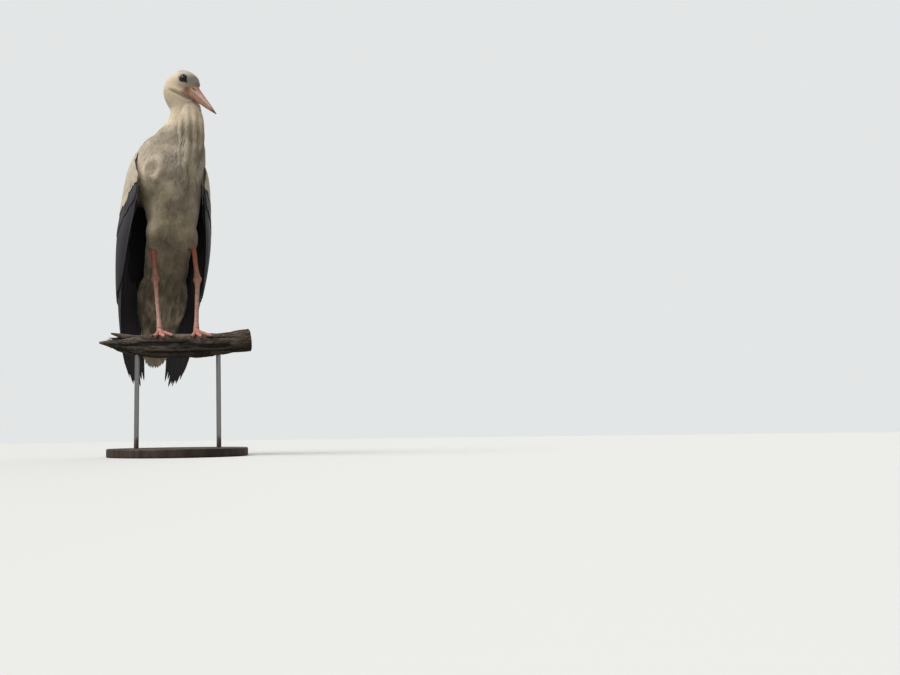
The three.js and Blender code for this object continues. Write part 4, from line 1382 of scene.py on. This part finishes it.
def make_claws():
    for (name, side), (toe, shape) in itertools.product(SIDES.items(), TOES.items()):
        path = toe_path(side, *shape)
        ahead = unit(path[-1] - path[-2])
        start = path[-1] - ahead * 1.5
        points = [
            start,
            start + ahead * (CLAW_LENGTH * 0.35) + (0, 0, 0.5),
            start + ahead * (CLAW_LENGTH * 0.72) + (0, 0, -0.5),
            path[-1] + ahead * CLAW_LENGTH + (0, 0, -3.4),
        ]
        verts, faces = limb(points, (CLAW_RADIUS * 0.98, CLAW_RADIUS * 0.9, CLAW_RADIUS * 0.6, 0.4), 22, 20)
        make_piece(f"claw_{name}_{toe}_horn", verts, faces, looks()["claw"], [f"claw_{name}_{toe}"])


# Places along a vane at which its points lie, for small feathers, those of the body and the long ones.
ROWS_SMALL = (0, 0.3, 0.62, 0.86, 1.0)
ROWS_BODY = (0, 0.22, 0.45, 0.66, 0.84, 1.0)
ROWS_BLADE = tuple(np.linspace(0, 1, 18) ** 0.9)


def hidden(points):
    """Mask of places on the body that the closed wings cover."""
    t = np.interp(points[:, 2], WING[::-1, 1], np.linspace(1, 0, len(WING)))
    at = along(WING, t)
    across = np.abs(points[:, 0] - BODY[0]) / at[:, 2]
    back = (points[:, 1] - at[:, 0]) / at[:, 3]
    angle = np.degrees(np.arctan2(across, back))
    near, far = wing_edges(t)
    inside = (np.hypot(across, back) < 0.93) & (angle < far - 34) & (t > 0.1) & (t < 0.6)
    return inside & ((angle > near + 16) | (t > 0.2))


def coat_piece(name, roots, normals, seed, kind, steps, cols, long, wide, camber, ragged, rise):
    """One piece of body feathers from its roots. Length, width and rise are in spacings of the feathers."""
    rng = np.random.default_rng(seed)
    size = grain(roots)
    n = len(roots)
    # The long plumes of the foreneck hang free at their ends, and lean together into strands.
    plume = plume_mask(roots) if name == "coat_foreneck" else 0 * size
    length = size * (long + 5.2 * plume) * rng.uniform(0.86, 1.14, n)
    width = size * wide * rng.uniform(0.88, 1.12, n)
    turn = rng.normal(0, 0.08, n) + 0.22 * noise(roots, 34, seed) + 0.1 * noise(roots, 13, seed + 1)
    sink = np.maximum(coat_depth(roots), 0.9)
    lift = size * (rise + rng.normal(0, 0.03, n) + 0.06 * noise(roots, 22, seed + 2))
    ahead = np.array((2.5, 0, 0))
    turn = turn + 0.3 * plume * (strand_wave(roots + ahead) - strand_wave(roots - ahead))
    lift = lift + plume * (1.2 + 4.0 * (1 - smooth(roots[:, 2], 500, 600)))
    path, up = laid(outer_surface(), roots, normals, flow, length, steps, sink, lift, turn)
    verts = shaped(path, up, width, kind, steps, cols, camber, ragged, rng, length)
    marks = coat_marks(verts.reshape(-1, 3)).reshape(n, -1, 3)
    marks[..., 1] = np.clip(marks[..., 1] + rng.uniform(-0.06, 0.06, (n, 1)), 0, 1)
    plumage = Plumage()
    plumage.add(verts, steps, marks, body_map(roots))
    plumage.piece(name, looks()["white"], "white_feathers")


def make_coat():
    rng = np.random.default_rng(COAT_SEED)
    spread = COAT_SPREAD / bpy.context.scene.stork_sizes.density

    def keep(points):
        bare = np.maximum(bare_face(points), bare_gape(points))
        return ~hidden(points) * (bare < 0.7) * ~bill_covers(points)

    points, normals = outer_surface().scatter(lambda p: grain(p) * spread, rng, keep)
    inside = keep(points)
    points, normals = points[inside], normals[inside]
    head = in_head(points)
    on_head = (np.linalg.norm(head - HEAD_MIDDLE, axis=1) < HEAD_REACH) & (head[:, 0] > HEAD_BACK)
    z = points[:, 2]
    on_plumes = ~on_head & (to_axis(points, PLUMES)[0] < PLUME_REACH) & (normals[:, 1] < 0.25)
    # The top of the plumes is ragged, so that no line shows where they begin.
    on_plumes &= (z + 26 * noise(points, 9, 41) < PLUMES_TO) & (z > PLUMES_FROM)
    on_neck = ~on_head & ~on_plumes & (z > NECK_FROM)
    gaps = [to_axis(points, thigh_table(side))[0] for side in SIDES.values()]
    on_thigh = (np.minimum(*gaps) < THIGH_REACH) & (z < THIGH_TOP) & (points[:, 1] < THIGH_BACK)
    below = ~on_thigh & (z < UNDERTAIL_TO)
    rest = ~(on_head | on_plumes | on_neck | on_thigh | below)
    front = rest & (normals[:, 1] < 0.1)
    back = rest & ~front
    # Name, mask, seed, kind of vane, rows, columns, length, width, camber, raggedness and rise of the tips.
    parts = (
        ("coat_head", on_head, 1, "lance", ROWS_SMALL, 3, 4.6, 1.4, 0.12, 0.1, 0.13),
        ("coat_neck", on_neck, 2, "lance", ROWS_BODY, 5, 5.8, 1.45, 0.12, 0.14, 0.14),
        ("coat_breast", front, 3, "lance", ROWS_BODY, 5, 5.4, 1.85, 0.08, 0.15, 0.11),
        ("coat_back", back, 4, "round", ROWS_BODY, 5, 4.6, 1.8, 0.1, 0.14, 0.14),
        ("coat_thighs", on_thigh, 6, "lance", ROWS_BODY, 5, 5.4, 1.6, 0.1, 0.16, 0.13),
        ("coat_undertail", below, 7, "lance", ROWS_BODY, 5, 6.2, 1.85, 0.08, 0.18, 0.12),
        ("coat_foreneck", on_plumes, 8, "lance", ROWS_BODY, 5, 5.8, 1.4, 0.16, 0.14, 0.16),
    )
    for name, mask, *rest_of in parts:
        coat_piece(name, points[mask], normals[mask], *rest_of)


def bill_covers(points):
    """Mask of places that lie inside the root of the bill."""
    head = in_head(points)
    at = along(BILL_STATIONS, (head[:, 0] - BILL_START) / BILL_LENGTH)
    up = head[:, 2] - at[:, 2]
    depth = np.where(up > 0, at[:, 4], at[:, 5])
    return (np.hypot(head[:, 1] / at[:, 3], up / depth) < 1.02) & (head[:, 0] > BILL_START - 1)


def wing_tract(plumage, side, rows, rng):
    """Adds rows of like feathers to a wing.

    A row gives how many feathers there are, v of their tips and roots, t of their ends or a function of v for
    it, their length in t, their width and how deep they lie at the spine and at the front edge.
    """
    for row in rows:
        count = row["count"]
        share = (np.arange(count) + 0.5 + row.get("shift", 0)) / count
        v1 = lerp(*row["v"], share)
        v0 = lerp(*row.get("v_root", row["v"]), share)
        end = row["end"](v1) if callable(row["end"]) else row["end"]
        end = end + rng.normal(0, row.get("uneven", 0.003), count)
        end = end + row.get("stagger", 0) * (np.arange(count) % 2)
        start = end - row["long"] * rng.uniform(0.94, 1.06, count)
        width = row["wide"] * rng.uniform(0.94, 1.06, count)
        steps, depth = row.get("steps", ROWS_BODY), lerp(*row["inset"], v1)
        verts = wing_vanes(
            side,
            np.stack([start, v0 + rng.normal(0, 0.004, count)], -1),
            np.stack([end, v1 + rng.normal(0, 0.004, count)], -1),
            width,
            np.stack([depth + row.get("sunk", 1.2), depth], -1),
            row.get("tilt", 0.5),
            row.get("kind", "round"),
            steps,
            row.get("cols", 5),
            row.get("camber", 0.12),
            row.get("ragged", 0.05),
            rng,
            row.get("inner", False),
        )
        tone = WING_TONE + rng.uniform(-0.07, 0.07, count)
        buff = WING_BUFF + rng.uniform(-0.15, 0.15, count)
        marks = np.stack([0 * tone + row["black"], tone, buff], -1)
        across = 0.06 + 0.4 * np.clip(v1, 0, 1) + (0.5 if side == LEFT else 0)
        place = np.stack([across, 0.03 + 0.9 * np.clip(start, 0, 1)], -1)
        plumage.add(verts, steps, np.clip(marks, 0, 1), place)


def alternate(r):
    """How far the feathers of a row are shifted, so that they lie between those of the next."""
    return 0.5 * (r % 2) - 0.25


def white_rows(side):
    """Rows of white coverts from the lowest to the shoulder, then the white feathers inside the wing."""
    ends = partial(coverts_end, side=side)
    rows = [
        dict(count=17, v=(0.0, 0.99), end=ends, long=0.12, wide=29, inset=(0.8, 1.0), ragged=0.1,
             tilt=0.9, uneven=0.004, steps=ROWS_BLADE[::2] + (1.0,), cols=7)
    ]
    for r in reversed(range(5)):
        share = (r + 1) / 5.6
        rows.append(
            dict(count=16, v=(0, 1.02), shift=alternate(r), long=0.085, wide=26, inset=(0.4, 0.4), ragged=0.1,
                 end=lambda v, share=share: lerp(0.18, ends(v) - 0.04, share), camber=0.14, uneven=0.006)
        )
    for r in reversed(range(11)):
        uneven = 0.01 if r == 0 else 0.003 + 0.0007 * r
        rows.append(
            dict(count=13 + r // 2, v=(-0.02, 1.04), shift=alternate(r), end=0.035 + 0.0145 * r, long=0.062,
                 wide=19 + 0.7 * r, inset=(0.2, 0.2), ragged=0.12, camber=0.16, uneven=uneven,
                 sunk=max(1.2, 10 - 3 * r))
        )
    # White feathers line the wing down to its wrist, and a few more show further down, against the black.
    inside = dict(inner=True, ragged=0.14, camber=0.16)
    for r in range(3):
        rows.append(dict(count=9, v=(0.5, 1.02), shift=alternate(r), end=0.12 + 0.04 * r, long=0.08, wide=22,
                         inset=(2, 1), **inside))
    flank = dict(kind="lance", inset=(4, 4), **inside)
    if side == RIGHT:
        rows.append(dict(count=6, v=(0.86, 0.96), end=0.375, long=0.085, wide=11, stagger=0.02, **flank))
        rows.append(dict(count=4, v=(0.8, 0.88), end=0.58, long=0.2, wide=7, stagger=0.04, **flank))
    else:
        rows.append(dict(count=7, v=(0.84, 0.99), end=0.3, long=0.14, wide=11, stagger=0.03, **flank))
    return [dict(row, black=0) for row in rows]


def flight_rows(side):
    """Primaries, their outer ones, secondaries, the long inner ones and two rows of black coverts."""
    ends = partial(coverts_end, side=side)
    rows = [
        dict(count=10, v=(0.06, 0.9), v_root=(0.35, 0.95), end=primaries_end, long=0.52, wide=30,
             inset=(8.0, 9.0), stagger=-0.022, kind="point", tilt=1.0),
        dict(count=4, v=(0.74, 0.98), v_root=(0.86, 1.03), end=lambda v: primaries_end(v) - 0.05, long=0.66,
             wide=24, inset=(6.0, 8.0), stagger=-0.03, kind="point", tilt=1.0),
        dict(count=15, v=(0.05, 1.0), v_root=(0.12, 1.0), end=secondaries_end, long=0.4, wide=42,
             inset=(2.0, 5.0), kind="blade", tilt=1.3),
        dict(count=6, v=(-0.03, 0.42), v_root=(-0.01, 0.5), end=lambda v: secondaries_end(v) - 0.07,
             long=0.34, wide=40, inset=(1.0, 2.0), kind="blade", tilt=1.3),
        dict(count=14, v=(0.0, 1.0), end=lambda v: ends(v) + 0.075, long=0.15, wide=32, inset=(1.6, 2.6),
             kind="blade", tilt=1.0),
        dict(count=9, v=(0.66, 1.02), end=lambda v: ends(v) + 0.14, long=0.15, wide=24, inset=(3.0, 5.0),
             kind="point", tilt=1.0),
    ]
    return [dict(row, black=1, steps=ROWS_BLADE, cols=9, camber=0.1, ragged=0.02) for row in rows]


def lining_rows():
    """Black feathers that line the inside of the wing under its wrist."""
    shared = dict(count=9, v=(0.45, 1.0), long=0.1, wide=27, inset=(2, 1), black=1, kind="blade", tilt=0.8,
                  camber=0.14, ragged=0.08, inner=True)
    return [dict(shared, shift=alternate(r), end=0.27 + 0.05 * r) for r in range(7)]


def make_wings():
    for name, side in SIDES.items():
        rng = np.random.default_rng(WING_SEED + side)
        white, black = Plumage(), Plumage()
        wing_tract(white, side, white_rows(side), rng)
        white.piece(f"coat_wing_{name}", looks()["white"], "white_feathers")
        wing_tract(black, side, flight_rows(side) + lining_rows(), rng)
        nodes = [f"wing_{name}_secondaries", f"wing_{name}_primaries"]
        black.piece(f"flight_feathers_{name}", looks()["black"], "black_feathers", nodes)


def make_tail():
    """Twelve broad white feathers in a rounded fan, the middle pair on top."""
    root = np.array((0, 96, 206)) + BODY
    lean = math.radians(21)
    down = np.array((0, math.sin(lean), -math.cos(lean)))
    back = np.array((0, math.cos(lean), math.sin(lean)))
    steps = np.array(ROWS_BLADE)
    spread = lerp(26, 56, steps**0.7) - 8 * steps
    vane_width = np.array([31.0])
    rng = np.random.default_rng(TAIL_SEED)
    plumage = Plumage()
    for i in sorted(range(12), key=lambda k: -abs(k - 5.5)):
        across = lerp(-0.86, 0.86, i / 11)
        reach = TAIL_LENGTH * (1 - 0.26 * abs(across) ** 2.5)
        path = root + down * (steps * reach)[:, None] + np.outer(spread * across, (1, 0, 0))
        path = path + back * (1.5 - 4 * abs(across) - 7 * across**2 + rng.uniform(-0.3, 0.3))
        normal = np.broadcast_to(unit(back + np.array((0.25 * across, 0, 0))), path.shape)
        length = np.array([reach])
        verts = shaped(path[None], normal[None], vane_width, "blade", steps, 9, 0.1, 0.02, rng, length)
        marks = np.array([[0, rng.uniform(0.45, 0.65), 0.5]])
        plumage.add(verts, steps, marks, np.array([[0.05 + 0.07 * i, 0.5]]))
    plumage.piece("tail_feathers", looks()["white"], "white_feathers", ["tail"])


def worn(table, rows, cols, seed, deep):
    """Rings of weathered wood with long cracks and dents, and how deep each point is cut."""
    rings = ovals(table, rows, cols, (0, 0, 1), 2.15)
    centre = rings.mean(1, keepdims=True)
    cracks = noise(rings * (0.07, 1, 1), 7.5, seed)
    fine = noise(rings * (0.12, 1, 1), 2.6, seed + 3)
    dents = noise(rings * (0.5, 1, 1), 26, seed + 5)
    radius = np.linalg.norm(rings - centre, axis=2)
    under_feet = smooth(rings[..., 2] - centre[..., 2], 14, 28)
    under_feet = under_feet * (1 - smooth(np.abs(rings[..., 0]), 88, 120))
    cut = smooth(cracks, -0.05, -0.5) + smooth(fine, 0.1, -0.6) * 0.36 + smooth(dents, 0.2, -0.5) * 0.8
    cut = cut * deep * np.minimum(radius / 30, 1) * (1 - 0.72 * under_feet)
    return rings - unit(rings - centre) * cut[..., None], cut / 5


def make_perch():
    rows, cols = BRANCH_GRID
    turn = np.array(Matrix.Rotation(-BRANCH_TURN, 3, "Z"))
    rings, cut = worn(BRANCH_STATIONS, rows, cols, 3, 4.2)
    # The sawn end is a flat disc with its rings.
    share = np.linspace(1, 0, SAWN_RINGS + 1)[1:, None, None]
    middle = rings[-1].mean(0)
    disc = middle + (rings[-1] - middle) * share
    disc[..., 0] += 0.3 * np.sin(share[..., 0] * 60)
    branch = np.concatenate([rings, disc]), np.concatenate([cut, np.zeros((SAWN_RINGS, cols))])
    splinter = worn(SPLINTER, rows // 3, cols // 2, 12, 2.0)
    parts, masks = [], []
    for (rings, cut), sawn_rings in ((branch, SAWN_RINGS), (splinter, 0)):
        sawn = np.zeros(cut.shape)
        sawn[len(sawn) - sawn_rings:] = 1
        parts.append(loft(rings @ turn.T))
        # The tone is darker where the wood is cut deeper: painted shade in the cracks and dents.
        masks.append(np.stack([sawn, np.clip(0.95 - cut, 0, 1), sawn * 0], -1).reshape(-1, 3))
    rng = np.random.default_rng(SPLINTER_SEED)
    for _ in range(7):
        y, z = rng.uniform(-14, 14), rng.uniform(-34, -16)
        long = rng.uniform(34, 62)
        start = -150 - rng.uniform(0, 14)
        tip = (start - long, y * 1.2, z + rng.uniform(0, 5))
        line = np.array([(start, y, z), (start - long * 0.5, y * 1.1, z + 1.5), tip])
        line[:, 0] = np.maximum(line[:, 0], -231)
        verts, faces = limb(line, (5.5, 3.6, 0.6), 16, 10)
        parts.append((verts @ turn.T, faces))
        masks.append(np.tile((0, rng.uniform(0.5, 0.9), 0), (len(verts), 1)))
    verts, faces = joined(parts)
    make_piece("branch", verts, faces, looks()["bark"], ["perch"], np.vstack(masks))


def turned_solid(profile, sides, at=(0, 0)):
    """An upright solid of revolution through radii and heights over the floor."""
    x, y = np.cos(circle(sides)), np.sin(circle(sides))
    rings = [np.stack([at[0] + r * x, at[1] + r * y, 0 * x + z - BRANCH_TOP], -1) for r, z in profile]
    return loft(np.array(rings))


def make_stand():
    r, top = BASE_RADIUS, BASE_TOP
    rows = np.array(
        [(0.5, 0), (r - 4, 0), (r - 1, 1), (r, 3.4)]
        + [(r, top - 3.4), (r - 0.8, top - 1.2), (r - 3.2, top), (0.5, top)]
    )
    profile = [rows[0]]
    for a, b in zip(rows, rows[1:]):
        profile += [lerp(a, b, s) for s in (0.03, 0.5, 0.97)]
    verts, faces = turned_solid([*profile, rows[-1]], 128)
    make_piece("stand_base_board", verts, faces, looks()["base"], ["stand_base"])
    axes = np.array(Matrix.Rotation(-BRANCH_TURN, 3, "Z"))
    for name, side in SIDES.items():
        profile = [(ROD_RADIUS, z) for z in (BASE_TOP + 0.4, 60, 200, ROD_TOP - 12, ROD_TOP)]
        verts, faces = turned_solid(profile, 32, axes @ (side * ROD_OUT, 0, 0))
        make_piece(f"rod_{name}", verts, faces, looks()["steel"], [f"stand_rod_{name}"])


FLOOR_RADIUS = 14
FLOOR_SEEN, FLOOR_LIT = (0.74, 0.755, 0.76), (0.22, 0.22, 0.2)
SKY, SKY_SEEN, SKY_LIT = (0.77, 0.79, 0.79), 1.0, 0.26
SUN_COLOUR = (1.0, 0.97, 0.92)
# Each sun's tilt and turn in degrees, its strength and its spread in degrees.
SUNS = {"key": (36, -84, 3.0, 50), "fill": (55, 10, 0.25, 90), "edge": (52, 130, 0.7, 60)}
# The camera's lens, its shift, its place round the model, and where it looks: turn, tilt and roll in degrees.
LENS, SHIFT = 27.6, 0.22
CAMERA_AZIMUTH, CAMERA_DISTANCE, CAMERA_HEIGHT = -13, 2.05, 0.05
CAMERA_TURN, CAMERA_TILT, CAMERA_ROLL = -19.185, 8.277, -0.8


def stage_object(name, data):
    ob = bpy.data.objects.new(name, data)
    bpy.context.scene.collection.objects.link(ob)
    return ob


def make_stage():
    scene = bpy.context.scene
    mesh = bpy.data.meshes.new("floor")
    rim = [(FLOOR_RADIUS * math.cos(a), FLOOR_RADIUS * math.sin(a), 0) for a in circle(96)]
    mesh.from_pydata(rim, [], [tuple(range(96))])

    def floor_paint(tree):
        return {"Base Color": tree.mix(tree.add("LightPath", "Is Camera Ray"), FLOOR_LIT, FLOOR_SEEN)}

    mesh.materials.append(material("Pale floor", floor_paint, Roughness=0.85))
    stage_object("floor", mesh)
    world = bpy.data.worlds.new("Studio")
    world.use_nodes = True
    scene.world = world
    tree = Tree(world.node_tree)
    back = world.node_tree.nodes["Background"]
    tree.put(SKY, back.inputs["Color"])
    seen = tree.add("LightPath", "Is Camera Ray")
    tree.put(tree.ramp(seen, 0.0, 1.0, SKY_LIT, SKY_SEEN), back.inputs["Strength"])
    for name, (tilt, turn, strength, spread) in SUNS.items():
        lamp = bpy.data.lights.new(name, "SUN")
        lamp.energy, lamp.angle, lamp.color = strength, math.radians(spread), SUN_COLOUR
        ob = stage_object(name, lamp)
        ob.rotation_euler = (math.radians(tilt), 0, math.radians(turn))
    lens = bpy.data.cameras.new("camera")
    lens.lens, lens.sensor_width, lens.shift_x = LENS, 36, SHIFT
    azimuth, turn, tilt, roll = (
        math.radians(a) for a in (CAMERA_AZIMUTH, CAMERA_TURN, 90 + CAMERA_TILT, CAMERA_ROLL)
    )
    away = Matrix.Translation(
        (math.sin(azimuth) * CAMERA_DISTANCE, -math.cos(azimuth) * CAMERA_DISTANCE, CAMERA_HEIGHT)
    )
    camera = stage_object("camera", lens)
    aim = Matrix.Rotation(turn, 4, "Z") @ Matrix.Rotation(tilt, 4, "X")
    camera.matrix_world = away @ aim @ Matrix.Rotation(roll, 4, "Z")
    scene.camera = camera
    scene.view_settings.view_transform = "Standard"


# ---------------------------------------------------------------------------------------------------------
# The add-on
# ---------------------------------------------------------------------------------------------------------


def colour(title, text, value):
    return bpy.props.FloatVectorProperty(
        name=title, description=text, subtype="COLOR", size=3, min=0, max=1, default=value
    )


class StorkColours(bpy.types.PropertyGroup):
    """Colours of the model."""

    white: colour("White", "White plumage", (0.84, 0.77, 0.67))
    buff: colour("Buff", "Cream wash on the plumage", (0.8, 0.66, 0.47))
    black: colour("Black", "Black marks in the plumage", (0.066, 0.061, 0.077))
    # A painted highlight along the rims of the black feathers.
    black_rim_highlight: colour("Black rim highlights", "Rims of the black feathers", (0.15, 0.14, 0.165))
    shaft_white: colour("White shafts", "Shafts of the white feathers", (0.86, 0.82, 0.72))
    shaft_black: colour("Black shafts", "Shafts of the black feathers", (0.035, 0.03, 0.032))
    # Also the colour of the painted shadow along the fold under the cheek.
    face: colour("Face skin", "Bare skin round the eye", (0.012, 0.011, 0.014))
    leg_pink: colour("Leg", "Skin of the tarsi", (0.7, 0.34, 0.27))
    leg_red: colour("Upper leg", "Skin of the bare thighs and toes", (0.72, 0.22, 0.14))
    leg_wash: colour("Leg wash", "Pale wash on the legs", (0.58, 0.46, 0.4))
    bill: colour("Bill", "Horn of the bill", (0.5, 0.27, 0.19))
    bill_pale: colour("Pale bill", "Paler patches of the bill", (0.6, 0.38, 0.28))
    # The dark horn also colours the painted shade in the nostrils.
    bill_dark: colour("Dark bill", "Tip, edges and nostrils of the bill", (0.09, 0.05, 0.045))
    claw: colour("Claws", "Horn of the claws", (0.07, 0.05, 0.045))
    iris: colour("Iris", "Iris of the eyes", (0.035, 0.02, 0.014))
    wood: colour("Wood", "Weathered wood of the branch", (0.15, 0.118, 0.09))
    wood_dark: colour("Dark wood", "Cracks in the branch", (0.035, 0.026, 0.021))
    wood_grey: colour("Grey wood", "Bleached fibres of the branch", (0.25, 0.215, 0.18))
    wood_cut: colour("Sawn wood", "Sawn end of the branch", (0.38, 0.27, 0.17))
    base: colour("Base", "Stained wood of the base", (0.085, 0.055, 0.04))
    base_dark: colour("Dark base", "Dark grain of the base", (0.03, 0.019, 0.015))


class StorkSizes(bpy.types.PropertyGroup):
    """Sizes of the coat."""

    density: bpy.props.FloatProperty(
        name="Feather density",
        description="How close the body feathers stand",
        subtype="FACTOR",
        default=1.0,
        min=0.4,
        max=1.6,
    )


class STORK_OT_skin(bpy.types.Operator):
    """Skin of the body and the bare legs, in one piece"""

    bl_idname = "stork.skin"
    bl_label = "Skin"

    def execute(self, context):
        make_skin()
        return {"FINISHED"}


class STORK_OT_bill(bpy.types.Operator):
    """Both halves of the bill"""

    bl_idname = "stork.bill"
    bl_label = "Bill"

    def execute(self, context):
        make_bill()
        return {"FINISHED"}


class STORK_OT_eyes(bpy.types.Operator):
    """Both eyes"""

    bl_idname = "stork.eyes"
    bl_label = "Eyes"

    def execute(self, context):
        make_eyes()
        return {"FINISHED"}


class STORK_OT_claws(bpy.types.Operator):
    """A claw for each toe"""

    bl_idname = "stork.claws"
    bl_label = "Claws"

    def execute(self, context):
        make_claws()
        return {"FINISHED"}


class STORK_OT_coat(bpy.types.Operator):
    """Small feathers of head, neck, trunk, thighs and undertail"""

    bl_idname = "stork.coat"
    bl_label = "Coat"

    def execute(self, context):
        make_coat()
        return {"FINISHED"}


class STORK_OT_wings(bpy.types.Operator):
    """Coverts and flight feathers of the closed wings"""

    bl_idname = "stork.wings"
    bl_label = "Wings"

    def execute(self, context):
        make_wings()
        return {"FINISHED"}


class STORK_OT_tail(bpy.types.Operator):
    """Twelve tail feathers"""

    bl_idname = "stork.tail"
    bl_label = "Tail"

    def execute(self, context):
        make_tail()
        return {"FINISHED"}


class STORK_OT_perch(bpy.types.Operator):
    """The cut length of weathered branch"""

    bl_idname = "stork.perch"
    bl_label = "Branch"

    def execute(self, context):
        make_perch()
        return {"FINISHED"}


class STORK_OT_stand(bpy.types.Operator):
    """Base board and two rods"""

    bl_idname = "stork.stand"
    bl_label = "Stand"

    def execute(self, context):
        make_stand()
        return {"FINISHED"}


class STORK_OT_stage(bpy.types.Operator):
    """Floor, light and camera"""

    bl_idname = "stork.stage"
    bl_label = "Stage"

    def execute(self, context):
        make_stage()
        return {"FINISHED"}


OPERATORS = (
    STORK_OT_skin,
    STORK_OT_bill,
    STORK_OT_eyes,
    STORK_OT_claws,
    STORK_OT_coat,
    STORK_OT_wings,
    STORK_OT_tail,
    STORK_OT_perch,
    STORK_OT_stand,
    STORK_OT_stage,
)


class STORK_PT_panel(bpy.types.Panel):
    """Lists the pieces of the model, its colours and sizes."""

    bl_label = "White stork"
    bl_idname = "STORK_PT_panel"
    bl_space_type = "VIEW_3D"
    bl_region_type = "UI"
    bl_category = "Stork"

    def draw(self, context):
        column = self.layout.column(align=True)
        for made in OPERATORS:
            column.operator(made.bl_idname)
        for settings in (context.scene.stork_sizes, context.scene.stork_colours):
            for key in settings.__annotations__:
                self.layout.prop(settings, key)


CLASSES = (StorkColours, StorkSizes, *OPERATORS, STORK_PT_panel)


def register():
    for made in CLASSES:
        bpy.utils.register_class(made)
    bpy.types.Scene.stork_colours = bpy.props.PointerProperty(type=StorkColours)
    bpy.types.Scene.stork_sizes = bpy.props.PointerProperty(type=StorkSizes)


def unregister():
    del bpy.types.Scene.stork_sizes
    del bpy.types.Scene.stork_colours
    for made in reversed(CLASSES):
        bpy.utils.unregister_class(made)


def main():
    register()
    for made in OPERATORS:
        part, name = made.bl_idname.split(".")
        getattr(getattr(bpy.ops, part), name)()
    bpy.context.view_layer.update()


if __name__ == "__main__":
    main()
